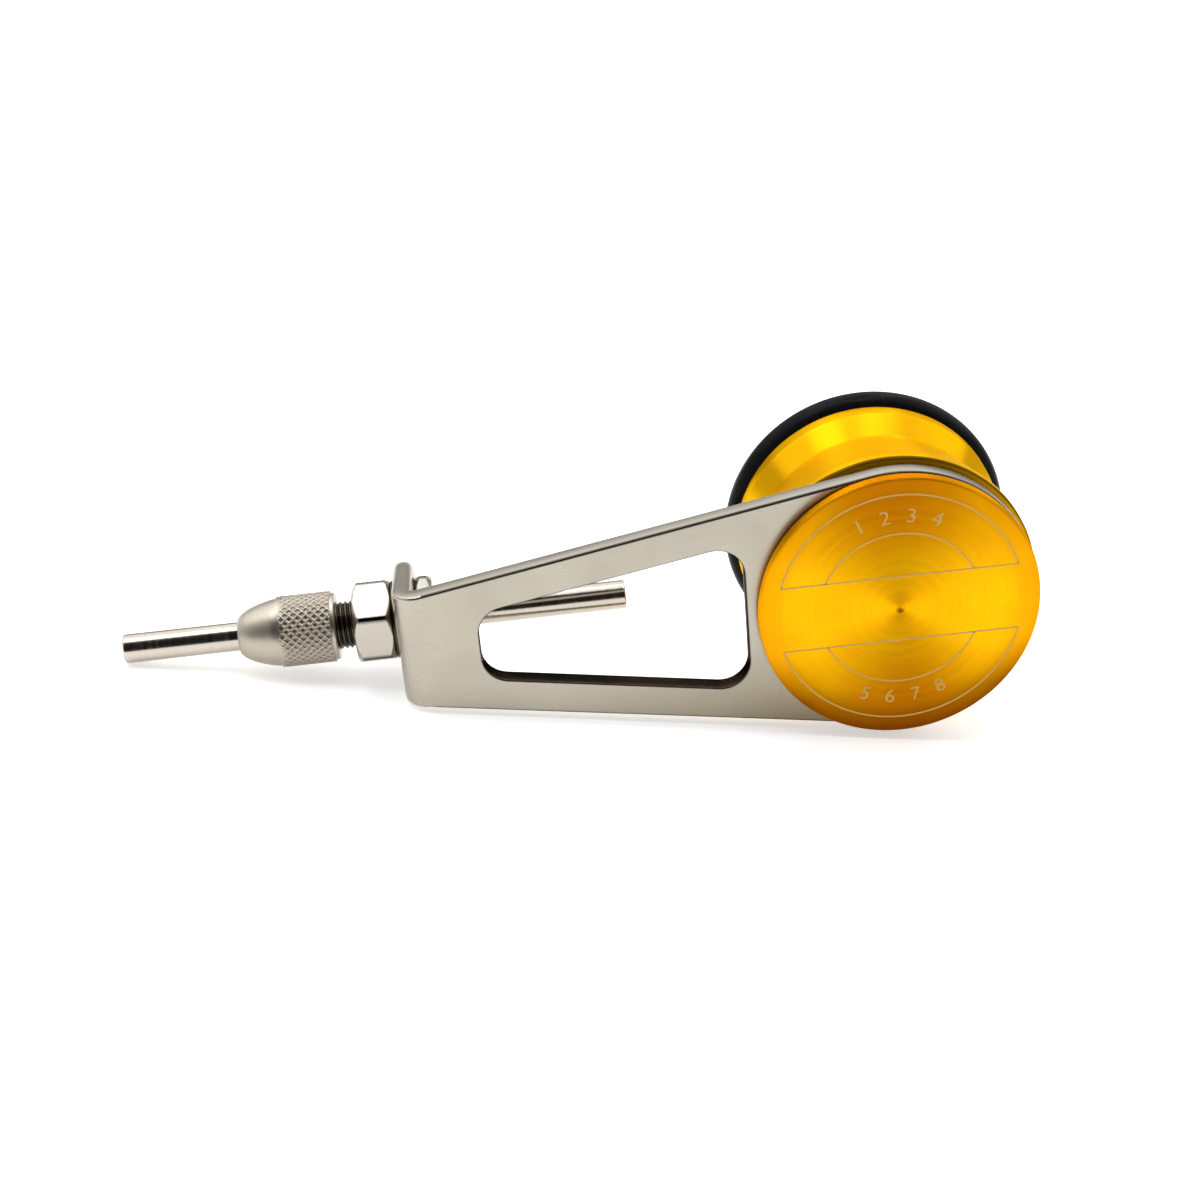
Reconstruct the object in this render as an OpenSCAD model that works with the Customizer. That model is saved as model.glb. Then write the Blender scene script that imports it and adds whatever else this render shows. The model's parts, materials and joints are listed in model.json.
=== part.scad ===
// Knot bobbin: a line spool behind a one-sided arm, a drag knob in front of it and a
// guide tube held by a collet. Millimetres.
// The pieces are modelled with the spool's axis along Y through the origin, the arm's front
// face at y = 0, the spool behind it and the tube pointing to -X. as_it_rests() then sets the
// whole on its spool ring and the tip of its tube.

/* [Side arm] */
// Distance from the spool's axis to the outer face of the end tab
arm_l = 50; // [46:1:60]
// Thickness of the steel strip
strip_t = 2; // [1.6:0.1:2.4]
// Radius of the round end that carries the spool
arm_end_r = 14.1; // [13:0.1:16]
// Radius of the tab's round end at the tab's outer face
tab_r = 5.8; // [5.2:0.1:6.6]
// Inner radius of the bend
bend_inner_r = 0.5; // [0.3:0.1:0.9]
// Steel left between the tab's outer face and the window
window_web = 8.2; // [6:0.2:12]
// Distance from the spool's axis to the rear edge of the window
window_x = 15.1; // [14.3:0.1:20]
// Width of the strips above and below the window
window_band = 3.5; // [2.6:0.1:4]
// Corner radius of the window
window_corner_r = 2.8; // [1:0.1:3]

/* [Guide tube] */
// Outer diameter of the guide tube
tube_d = 3; // [2.6:0.1:3.2]
// Bore of the guide tube
tube_bore_d = 2; // [1.4:0.1:2.2]
// Length of the tube in front of the tab's outer face
tube_front_l = 28.15; // [24:0.05:40]
// Length of the tube behind the tab's outer face
tube_back_l = 23.35; // [16:0.05:26]
// Distance of the tube's axis behind the arm's front face
tube_y = 8.15; // [7.9:0.05:9.5]
// Chamfer on the tube's outer edges
tube_edge = 0.3; // [0.1:0.05:0.4]

/* [Stud and nuts] */
// Outer diameter of the stud's thread
stud_d = 4.9; // [4.7:0.1:5.2]
// Pitch of the stud's thread
stud_pitch = 0.5; // [0.4:0.1:1]
// Depth of the stud's thread
thread_depth = 0.26; // [0.2:0.02:0.5]
// Length of the stud in front of the outer nut
stud_front_l = 5.2; // [4.5:0.1:6]
// Length of the stud behind the inner nut
stud_back_l = 0.4; // [0.2:0.1:2]
// Width across the flats of both hex nuts
nut_flats = 8; // [7:0.1:9]
// Length of the outer hex nut
outer_nut_l = 4.05; // [3:0.05:5]
// Length of the inner hex nut
inner_nut_l = 1.8; // [1.4:0.1:3]
// Chamfer of the hex nuts, measured along the nut at a corner
nut_chamfer = 0.4; // [0.2:0.05:0.6]
// Outer diameter of the washer under the outer nut
nut_washer_d = 8; // [7:0.1:10]
// Thickness of the washer under the outer nut
nut_washer_t = 0.4; // [0.3:0.1:0.8]

/* [Collet and its nut] */
// Gap between the outer hex nut and the collet nut
collet_gap = 1.85; // [1.6:0.05:2.4]
// Diameter over the knurl
knurl_d = 7.3; // [7:0.1:8.5]
// Length of the knurled band
knurl_l = 5.5; // [4:0.1:6]
// Height of the knurl above the plain body
knurl_h = 0.2; // [0.1:0.05:0.3]
// Length of the plain ends on both sides of the knurl
nut_land_l = 0.42; // [0.3:0.02:0.6]
// Length of the bullet nose
nose_l = 3.7; // [3:0.1:5]
// Diameter of the nose at its tip
nose_tip_d = 3.7; // [3.6:0.1:4.4]
// Wall between the tube's hole and the collet's seat at the nose
nose_wall_l = 0.9; // [0.6:0.1:1.4]
// Length of the split collet
collet_l = 4.2; // [3.4:0.1:5]
// Number of slots in the collet
collet_slots = 3; // [2:1:4]
// Width of the collet's slots
collet_slot_w = 0.4; // [0.2:0.1:0.6]

/* [Spool] */
// Outer radius of the flange next to the arm
near_flange_r = 14.55; // [14:0.05:16]
// Gap between the arm and the spool
spool_gap = 0.45; // [0.3:0.05:0.8]
// Width of the near flange's edge
near_land_w = 1.15; // [0.5:0.05:2]
// Distance from the near face to the bottom of the groove for the line
valley_y = 10.15; // [8:0.05:12]
// Radius at the bottom of the groove for the line
valley_r = 12.6; // [11.6:0.1:13]
// Width of the rounded bottom of the groove
valley_w = 0.5; // [0.2:0.1:1]
// Distance from the bottom of the groove to the far flange
far_cone_w = 2.9; // [2:0.1:4]
// Radius of the far flange's two lips
lip_r = 14; // [13.8:0.05:14.3]
// Width of the lip between the groove for the line and the ring
near_lip_w = 1.4; // [0.8:0.1:2]
// Width of the lip on the ring's far side
far_lip_w = 1; // [0.6:0.1:1.6]
// Chamfer on the spool's edges
spool_edge = 0.25; // [0.1:0.05:0.4]

/* [Rubber ring] */
// Outer radius of the rubber ring
ring_r = 15; // [14.7:0.1:16]
// Diameter of the rubber's round section
ring_section_d = 3.5; // [2.6:0.1:3.8]

/* [Knob] */
// Radius of the knob
knob_r = 14.1; // [12:0.1:15]
// Thickness of the knob's disc
knob_t = 1.2; // [1:0.1:2.5]
// Gap between the knob and the arm, which the thin washer fills
knob_gap = 0.3; // [0.2:0.05:0.6]
// Chamfer on the knob's front edge
knob_edge = 0.3; // [0.1:0.05:0.4]
// Radius of the small centre mark on the knob's face
centre_mark_r = 0.5; // [0.3:0.1:0.8]
// Radius of the knob's hub
hub_r = 4.3; // [3.6:0.1:4.6]
// Length of the hub behind the arm's front face
hub_l = 1.75; // [1.4:0.05:1.8]
// Outer radius of the washer behind the knob
knob_washer_r = 10; // [8:0.5:12]

/* [Axle and brake] */
// Radius of the bush in the arm's eye
eye_r = 6; // [5.6:0.1:7]
// Radius of the bush's flange
eye_flange_r = 8; // [7.5:0.1:8.4]
// Thickness of the bush's flange
eye_flange_t = 0.8; // [0.6:0.1:1]
// Thickness of the brake washer
drag_washer_t = 0.7; // [0.5:0.1:1]
// Radius of the journal that the spool turns on
journal_r = 2.5; // [2.3:0.1:3]
// Radius of the part of the axle that has two flats
flatted_r = 2; // [1.8:0.1:2.2]
// Width across the two flats
flats_w = 3.2; // [2.8:0.1:3.4]
// Radius of the threaded end that the knob turns on
knob_thread_r = 1.5; // [1.3:0.1:1.6]
// Length of that thread in the knob
knob_thread_l = 1.9; // [1.6:0.1:2]
// Metal left between that thread's hole and the knob's face
knob_skin_t = 0.35; // [0.3:0.05:0.5]
// Wall of the two spool bushings
bushing_wall = 1.5; // [1:0.1:2]
// Length of each spool bushing
bushing_l = 5; // [3:0.5:6]
// Thickness of the thrust washer
thrust_washer_t = 0.5; // [0.3:0.1:1]
// Thickness of a disc spring
disc_t = 0.4; // [0.3:0.05:0.6]
// Dish of a disc spring, added to its thickness
disc_dish = 0.35; // [0.2:0.05:0.5]
// Radius of the disc springs and the thrust washer
disc_r = 5.2; // [4.6:0.1:5.6]
// Radius of the axle's head
head_r = 5; // [4.4:0.1:5.6]
// Thickness of the axle's head
head_t = 1.7; // [1.4:0.1:2.2]
// Width across the flats of the hex socket in the head
socket_flats = 3; // [2:0.5:4]
// Depth of the hex socket
socket_depth = 1; // [0.6:0.1:1.2]

/* [Fits] */
// Radial clearance of parts that turn or slide in each other
run_fit = 0.04; // [0.02:0.01:0.08]
// Radial clearance of parts that are pressed or screwed together
press_fit = 0.01; // [0.01:0.01:0.03]
// Gap between faces that turn against each other
face_gap = 0.03; // [0.02:0.01:0.06]
// Loose clearance round parts that don't touch
loose_fit = 0.2; // [0.15:0.05:0.3]

/* [Hidden] */
$fn = 96;
over = 1;                        // how far a cut runs past the face it starts from
nose_steps = 8;                  // steps in the curve of the bullet nose
nose_from = 35;                  // the nose is the part of an ellipse between
nose_to = 80;                    // these two angles
key_play = 0.05;                 // play of the axle's flats in the bush
full_turn = 360;

// Radii
tube_r = tube_d / 2;
stud_r = stud_d / 2;
ring_section_r = ring_section_d / 2;
ring_centre_r = ring_r - ring_section_r;
collet_r = stud_r - thread_depth;
tube_hole_r = tube_r + run_fit;
nose_hole_r = tube_hole_r + loose_fit / 2;
stud_hole_r = stud_r + press_fit;

// Outline of the arm, seen from the front: its edges touch the round end and meet the tab's
// round end at the tab's outer face
bend_r = bend_inner_r + strip_t;
bend_x = arm_l - bend_r;
edge_angle = asin(arm_end_r / norm([arm_l, tab_r])) - atan(tab_r / arm_l);
function arm_half_w(x) = tab_r + (arm_l - x) * tan(edge_angle);
function window_half_w(x) = arm_half_w(x) - window_band / cos(edge_angle);
window_front_x = arm_l - window_web;
corner_front_x = window_front_x - window_corner_r;
corner_rear_x = window_x + window_corner_r;
function corner_z(x) = window_half_w(x) - window_corner_r / cos(edge_angle);

// Places along the tube, as distances in front of the spool's axis
tab_inner_x = arm_l - strip_t;
inner_nut_end_x = tab_inner_x - inner_nut_l;
stud_back_x = inner_nut_end_x - stud_back_l;
washer_front_x = arm_l + nut_washer_t;
outer_nut_x = washer_front_x + outer_nut_l;
stud_front_x = outer_nut_x + stud_front_l;
nut_rear_x = outer_nut_x + collet_gap;
knurl_rear_x = nut_rear_x + nut_land_l;
knurl_front_x = knurl_rear_x + knurl_l;
nose_base_x = knurl_front_x + nut_land_l;
nose_tip_x = nose_base_x + nose_l;
collet_rear_x = stud_front_x + face_gap;
collet_front_x = collet_rear_x + collet_l;
seat_x = (collet_rear_x + collet_front_x) / 2;
seat_front_x = nose_tip_x - nose_wall_l;
function seat_r(x) = stud_hole_r - (stud_hole_r - nose_hole_r) * (x - seat_x) / (seat_front_x - seat_x);
tube_tip_x = arm_l + tube_front_l;
tip_edge_x = tube_tip_x - tube_edge;
tube_rear_x = arm_l - tube_back_l;

// Places along the spool's axis
spool_y = strip_t + spool_gap;
brake_y = strip_t + eye_flange_t;
near_floor_y = brake_y + drag_washer_t + face_gap;
valley_mid_y = spool_y + valley_y;
lip_y = valley_mid_y + far_cone_w;
ring_y = lip_y + near_lip_w + ring_section_r;
spool_far_y = ring_y + ring_section_r + far_lip_w;
knob_back_y = -knob_gap;
knob_face_y = knob_back_y - knob_t;
head_far_y = spool_far_y - loose_fit;
head_y = head_far_y - head_t;
disc_h = disc_t + disc_dish;
far_disc_y = head_y - disc_h;
near_disc_y = far_disc_y - disc_h;
thrust_y = near_disc_y - thrust_washer_t;
far_floor_y = thrust_y - face_gap;
shoulder_y = brake_y + loose_fit;
knob_bore_y = knob_face_y + knob_skin_t;
axle_tip_y = knob_bore_y + face_gap;
knob_thread_y = axle_tip_y + knob_thread_l;
bushing_r = journal_r + run_fit + bushing_wall;

// The pose in which the object rests: on the ring and on the lower edge of the tube's tip
stand_r = max(ring_r, knob_r, near_flange_r);
rest_pitch = asin(stand_r / norm([tip_edge_x, tube_r])) - atan(tube_r / tip_edge_x);
left_x = -tube_tip_x * cos(rest_pitch) - (tube_r - tube_edge) * sin(rest_pitch);
mid_x = (left_x + stand_r) / 2;
mid_y = (knob_face_y + spool_far_y) / 2;

module as_it_rests() {
    translate([-mid_x, -mid_y, stand_r]) rotate([0, -rest_pitch, 0]) children();
}

// Turns a shape made along Z so that it lies along Y, from front to back
module along_y() {
    rotate([-90, 0, 0]) children();
}

// Turns a shape made along Z so that it lies along the tube's axis, from back to front
module along_tube() {
    translate([0, tube_y, 0]) rotate([0, -90, 0]) children();
}

// A ring or disc between two places on Z
module ring(r, bore_r, from, to) {
    translate([0, 0, from]) difference() {
        cylinder(r = r, h = to - from);
        if (bore_r > 0) translate([0, 0, -over]) cylinder(r = bore_r, h = to - from + 2 * over);
    }
}

// The outline round equal circles that stand at the corners of a convex figure
function outward(a, b) = [b[1] - a[1], a[0] - b[0]] / norm(b - a);
module rounded_outline(corners, r) {
    last = len(corners) - 1;
    polygon([for (i = [0:last])
        let (a = corners[i], b = corners[i == last ? 0 : i + 1], w = r * outward(a, b)) each [a + w, b + w]]);
    for (c = corners) translate(c) circle(r = r);
}

module arm_outline() {
    tangent = arm_end_r * [-sin(edge_angle), cos(edge_angle)];
    circle(r = arm_end_r);
    polygon([[-arm_l, -tab_r], [tangent[0], -tangent[1]], [0, 0], tangent, [-arm_l, tab_r]]);
}

module window_outline() {
    rounded_outline([[-corner_front_x, -corner_z(corner_front_x)], [-corner_rear_x, -corner_z(corner_rear_x)],
                     [-corner_rear_x, corner_z(corner_rear_x)], [-corner_front_x, corner_z(corner_front_x)]],
                    window_corner_r);
}

// The bent strip seen from above
module strip_outline() {
    translate([-bend_x, 0]) square([bend_x + arm_end_r, strip_t]);
    translate([-arm_l, bend_r]) square([strip_t, tube_y - bend_r]);
    translate([-bend_x, bend_r]) intersection() {
        difference() {
            circle(r = bend_r);
            circle(r = bend_inner_r);
        }
        translate([-bend_r, -bend_r]) square(bend_r);
    }
}

// Gives an outline seen from the front the depth between two places on Y
module from_front(from, to) {
    translate([0, to, 0]) rotate([90, 0, 0]) linear_extrude(to - from) children();
}

module tab_end() {
    inner_r = arm_half_w(tab_inner_x);
    along_tube() intersection() {
        translate([0, 0, tab_inner_x]) cylinder(r1 = inner_r, r2 = tab_r, h = strip_t);
        translate([-inner_r, 0, tab_inner_x]) cube([2 * inner_r, inner_r, strip_t]);
    }
}

module side_arm() {
    color("silver") as_it_rests() difference() {
        union() {
            intersection() {
                translate([0, 0, -arm_end_r]) linear_extrude(2 * arm_end_r) strip_outline();
                from_front(0, tube_y) arm_outline();
            }
            tab_end();
        }
        from_front(-over, strip_t + over) {
            window_outline();
            circle(r = eye_r + press_fit);
        }
        along_tube() ring(stud_hole_r, 0, tab_inner_x - over, arm_l + over);
    }
}

module two_flats(r, w, from, to) {
    intersection() {
        ring(r, 0, from, to);
        translate([-w / 2, -r, from]) cube([w, 2 * r, to - from]);
    }
}

module eye_bush() {
    color("dimgray") as_it_rests() along_y() difference() {
        union() {
            ring(eye_r, 0, face_gap, strip_t);
            ring(eye_flange_r, 0, strip_t, brake_y);
        }
        ring(hub_r + loose_fit, 0, -over, strip_t);
        two_flats(flatted_r + key_play, flats_w + 2 * key_play, strip_t - over, brake_y + over);
    }
}

module knob() {
    color("goldenrod") as_it_rests() along_y() difference() {
        rotate_extrude() polygon([
            [0, knob_face_y + centre_mark_r], [centre_mark_r, knob_face_y],
            [knob_r - knob_edge, knob_face_y], [knob_r, knob_face_y + knob_edge], [knob_r, knob_back_y],
            [hub_r, knob_back_y], [hub_r, hub_l], [0, hub_l]]);
        ring(knob_thread_r + press_fit, 0, knob_bore_y, hub_l + over);
        ring(flatted_r + loose_fit, 0, knob_thread_y - face_gap, hub_l + over);
    }
}

module knob_washer() {
    color("ivory") as_it_rests() along_y() ring(knob_washer_r, eye_r + loose_fit, knob_back_y + face_gap, 0);
}

module axle_bolt() {
    color("lightsteelblue") as_it_rests() along_y() difference() {
        union() {
            ring(knob_thread_r, 0, axle_tip_y, knob_thread_y);
            two_flats(flatted_r, flats_w, knob_thread_y, shoulder_y);
            ring(journal_r, 0, shoulder_y, head_y);
            ring(head_r, 0, head_y, head_far_y);
        }
        translate([0, 0, head_far_y - socket_depth])
            cylinder(r = socket_flats / sqrt(3), h = socket_depth + over, $fn = 6);
    }
}

module drag_washer() {
    color("saddlebrown") as_it_rests() along_y()
        ring(eye_flange_r, journal_r + loose_fit, brake_y, brake_y + drag_washer_t);
}

module spool() {
    near_recess_r = eye_flange_r + 2 * loose_fit;
    far_recess_r = max(disc_r, head_r) + 2 * loose_fit;
    color("gold") as_it_rests() along_y() difference() {
        rotate_extrude() polygon([
            [bushing_r + press_fit, near_floor_y], [near_recess_r, near_floor_y], [near_recess_r, spool_y],
            [near_flange_r - spool_edge, spool_y], [near_flange_r, spool_y + spool_edge],
            [near_flange_r, spool_y + near_land_w], [valley_r, valley_mid_y - valley_w / 2],
            [valley_r, valley_mid_y + valley_w / 2], [lip_r, lip_y],
            [lip_r, spool_far_y - spool_edge], [lip_r - spool_edge, spool_far_y],
            [far_recess_r, spool_far_y], [far_recess_r, far_floor_y], [bushing_r + press_fit, far_floor_y]]);
        rotate_extrude() translate([ring_centre_r, ring_y]) circle(r = ring_section_r + press_fit);
    }
}

module line_ring() {
    color("black") as_it_rests() along_y()
        rotate_extrude() translate([ring_centre_r, ring_y]) circle(r = ring_section_r);
}

module bushing(from) {
    color("peru") as_it_rests() along_y() ring(bushing_r, journal_r + run_fit, from, from + bushing_l);
}

module near_bushing() {
    bushing(near_floor_y);
}

module far_bushing() {
    bushing(far_floor_y - bushing_l);
}

module thrust_washer() {
    color("gainsboro") as_it_rests() along_y() ring(disc_r, journal_r + run_fit, thrust_y, near_disc_y);
}

// A dished spring washer whose rim or whose hole faces the spool
module disc_spring(from, rim_first) {
    inner_r = journal_r + run_fit;
    rim_y = rim_first ? 0 : disc_dish;
    hole_y = rim_first ? disc_dish : 0;
    color("slategray") as_it_rests() along_y() translate([0, 0, from]) rotate_extrude()
        polygon([[inner_r, hole_y], [disc_r, rim_y], [disc_r, rim_y + disc_t], [inner_r, hole_y + disc_t]]);
}

module disc_spring_near() {
    disc_spring(near_disc_y, true);
}

module disc_spring_far() {
    disc_spring(far_disc_y, false);
}

// The profile of a thread as rings: half a crest at each end and whole ones between
module thread_rings(r, from, to) {
    turns = max(1, round((to - from) / stud_pitch));
    step = (to - from) / turns;
    rotate_extrude() polygon([
        [0, from],
        for (i = [0:turns - 1])
            each [[r, from + i * step], [r - thread_depth, from + (i + 0.5) * step]],
        [r, to], [0, to]]);
}

module threaded_stud() {
    color("dimgray") as_it_rests() along_tube() difference() {
        union() {
            ring(stud_r, 0, stud_back_x, outer_nut_x);
            thread_rings(stud_r, outer_nut_x, stud_front_x);
        }
        ring(tube_hole_r, 0, stud_back_x - over, stud_front_x + over);
    }
}

// A hex nut with both ends chamfered, one corner up
module hex_nut(from, to) {
    corner_r = nut_flats / sqrt(3);
    flat_r = nut_flats / 2;
    color("whitesmoke") as_it_rests() along_tube() difference() {
        intersection() {
            translate([0, 0, from]) cylinder(r = corner_r, h = to - from, $fn = 6);
            rotate_extrude() polygon([[0, from], [flat_r, from], [corner_r, from + nut_chamfer],
                                      [corner_r, to - nut_chamfer], [flat_r, to], [0, to]]);
        }
        ring(stud_hole_r, 0, from - over, to + over);
    }
}

module outer_hex_nut() {
    hex_nut(washer_front_x, outer_nut_x);
}

module inner_hex_nut() {
    hex_nut(inner_nut_end_x, tab_inner_x);
}

module outer_washer() {
    color("lightgray") as_it_rests() along_tube() ring(nut_washer_d / 2, stud_hole_r, arm_l, washer_front_x);
}

// A sleeve that follows the seat in its nut from the place where it is as wide as the seat
module collet() {
    seat_share = (stud_hole_r - face_gap - collet_r) / (stud_hole_r - nose_hole_r);
    shoulder_x = seat_x + (seat_front_x - seat_x) * seat_share;
    bore_r = tube_r + press_fit;
    color("darkgray") as_it_rests() along_tube() difference() {
        rotate_extrude() polygon([
            [bore_r, collet_rear_x], [collet_r, collet_rear_x], [collet_r, shoulder_x],
            [seat_r(collet_front_x) - face_gap, collet_front_x], [bore_r, collet_front_x]]);
        for (i = [0:collet_slots - 1]) rotate([0, 0, i * full_turn / collet_slots])
            translate([0, -collet_slot_w / 2, collet_rear_x + collet_l / 4])
                cube([collet_r + over, collet_slot_w, collet_l + over]);
    }
}

// A point of the nose's outline at an angle of its ellipse
function nose_point(turned, base_r, tip_r) =
    let (along = (sin(turned) - sin(nose_from)) / (sin(nose_to) - sin(nose_from)),
         down = (cos(nose_from) - cos(turned)) / (cos(nose_from) - cos(nose_to)))
    [base_r - down * (base_r - tip_r), nose_base_x + along * nose_l];

module collet_nut() {
    knurl_r = knurl_d / 2;
    body_r = knurl_r - knurl_h;
    edge = nut_land_l / 2;
    color("silver") as_it_rests() along_tube() difference() {
        rotate_extrude() polygon([
            [0, nut_rear_x], [body_r - edge, nut_rear_x], [body_r, nut_rear_x + edge],
            [body_r, knurl_rear_x], [knurl_r, knurl_rear_x],
            [knurl_r, knurl_front_x], [body_r, knurl_front_x],
            for (i = [0:nose_steps])
                nose_point(nose_from + (nose_to - nose_from) * i / nose_steps, body_r, nose_tip_d / 2),
            [0, nose_tip_x]]);
        rotate_extrude() polygon([
            [0, nut_rear_x - over], [stud_hole_r, nut_rear_x - over], [stud_hole_r, seat_x],
            [nose_hole_r, seat_front_x], [nose_hole_r, nose_tip_x + over], [0, nose_tip_x + over]]);
    }
}

module guide_tube() {
    color("lightgray") as_it_rests() along_tube() rotate_extrude() polygon([
        [tube_bore_d / 2, tube_rear_x], [tube_r - tube_edge, tube_rear_x], [tube_r, tube_rear_x + tube_edge],
        [tube_r, tube_tip_x - tube_edge], [tube_r - tube_edge, tube_tip_x], [tube_bore_d / 2, tube_tip_x]]);
}

side_arm();
eye_bush();
knob();
knob_washer();
axle_bolt();
drag_washer();
spool();
line_ring();
near_bushing();
far_bushing();
thrust_washer();
disc_spring_near();
disc_spring_far();
threaded_stud();
outer_hex_nut();
outer_washer();
inner_hex_nut();
collet();
collet_nut();
guide_tube();
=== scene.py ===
"""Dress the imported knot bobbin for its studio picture.

The pieces are made in the maker's frame: millimetres, the spool's axis along Y through the origin, the arm's front
face at y = 0 and the guide tube pointing to -X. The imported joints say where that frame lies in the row.
"""

import json
import logging
import math
from dataclasses import dataclass, replace
from enum import Enum
from functools import reduce

import bmesh
import bpy
from mathutils import Matrix, Vector

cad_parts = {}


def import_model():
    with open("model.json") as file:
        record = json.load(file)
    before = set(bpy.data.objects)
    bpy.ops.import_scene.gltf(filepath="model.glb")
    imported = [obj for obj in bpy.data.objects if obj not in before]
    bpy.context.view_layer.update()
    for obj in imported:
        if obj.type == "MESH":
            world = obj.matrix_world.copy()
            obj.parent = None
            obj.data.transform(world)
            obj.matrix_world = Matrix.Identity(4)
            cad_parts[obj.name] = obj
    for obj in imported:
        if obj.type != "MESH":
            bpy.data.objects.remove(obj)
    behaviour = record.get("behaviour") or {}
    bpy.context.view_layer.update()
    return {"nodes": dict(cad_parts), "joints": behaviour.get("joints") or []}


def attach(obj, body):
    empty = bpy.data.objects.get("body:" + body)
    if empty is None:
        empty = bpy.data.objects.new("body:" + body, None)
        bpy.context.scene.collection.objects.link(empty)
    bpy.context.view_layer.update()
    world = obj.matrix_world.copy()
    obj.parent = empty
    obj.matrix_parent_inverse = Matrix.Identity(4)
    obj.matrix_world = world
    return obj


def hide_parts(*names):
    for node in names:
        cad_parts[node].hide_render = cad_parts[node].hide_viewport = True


LOG = logging.getLogger("knot_bobbin")
MM = 0.001
FULL_TURN = 2 * math.pi
QUARTER = math.pi / 2
WHITE = (1.0, 1.0, 1.0)
# The photograph's side, and the width of the sensor that the lens is given for.
PHOTO_SIDE_PX = 1200
SENSOR_MM = 36.0
# The turn that stretches the highlights across the tool marks, as a share of a full one.
ACROSS = 0.25
# The least angle of a sharp edge, in degrees.
SHARP_DEG = 32.0
# The faces round the spool's pieces, and round the tube's.
WIDE_ROUND, SLIM_ROUND = 256, 96
# Points that lie closer together than this are one, in millimetres.
SAME_PLACE = 1e-5
# How close to a cut a point counts as lying on it, in millimetres.
ON_CUT = 1e-6
# The largest part of an outline's side that one round may take.
MOST_OF_SIDE = 0.45
# How far a dressed surface stands off the one that it touches, in millimetres.
CLEAR = 0.01
# The height of a figure in Blender's own font, as a share of the font's size.
FIGURE_SHARE = 0.7
FLOOR_HALF_M = 3.0
CLIP_START_M = 0.01
# The sockets of a Mix node that mixes colours: the share, both colours and the result.
MIX_SHARE, MIX_FIRST, MIX_SECOND, MIX_RESULT = 0, 6, 7, 2

Colour = tuple[float, float, float]
Point = tuple[float, float]
Corner = tuple[float, float, float]
Mesh = bpy.types.Mesh
Builder = bmesh.types.BMesh
Thing = bpy.types.Object
Material = bpy.types.Material
Socket = bpy.types.NodeSocket
Plug = float | Colour | Socket | Material
Joint = dict[str, str | float | list[float]]
Edges = list[bmesh.types.BMEdge]


class LatheAxis(Enum):
    """The two axes that the turned pieces share."""

    SPOOL = "spool"
    TUBE = "tube"


@dataclass(frozen=True)
class MakerFrame:
    """Where the maker's millimetres lie in the row frame.

    Args:
        to_row: the matrix from the maker's millimetres to the row's metres.
        tube_y: how far the tube's axis lies behind the arm's front face.
    """

    to_row: Matrix
    tube_y: float

    @classmethod
    def from_joints(cls, joints: list[Joint]) -> "MakerFrame":
        """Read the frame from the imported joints.

        Args:
            joints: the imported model's joints.

        Returns:
            The maker's frame.
        """
        named = {joint["name"]: joint for joint in joints}
        origin = Vector(named["spool_spin"]["pos_m"])
        x_axis = -Vector(named["tube_slide"]["axis"]).normalized()
        y_axis = Vector(named["spool_spin"]["axis"]).normalized()
        z_axis = x_axis.cross(y_axis)
        turn = Matrix((x_axis, y_axis, z_axis)).transposed().to_4x4()
        tube_y = (named["clamp_nut_turn"]["pos_m"][1] - origin.y) / MM
        return cls(Matrix.Translation(origin) @ turn @ Matrix.Scale(MM, 4), tube_y)

    def lathe(self, axis: LatheAxis) -> Matrix:
        """Give the matrix from a lathe's millimetres, turned about Z, to the row.

        Args:
            axis: the axis that the lathe turns about.

        Returns:
            The matrix from lathe to row.
        """
        if axis is LatheAxis.SPOOL:
            turned = Matrix(((1, 0, 0), (0, 0, 1), (0, -1, 0))).to_4x4()
            return self.to_row @ turned
        turned = Matrix(((0, 0, -1), (0, 1, 0), (1, 0, 0))).to_4x4()
        return self.to_row @ Matrix.Translation((0, self.tube_y, 0)) @ turned


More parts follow.
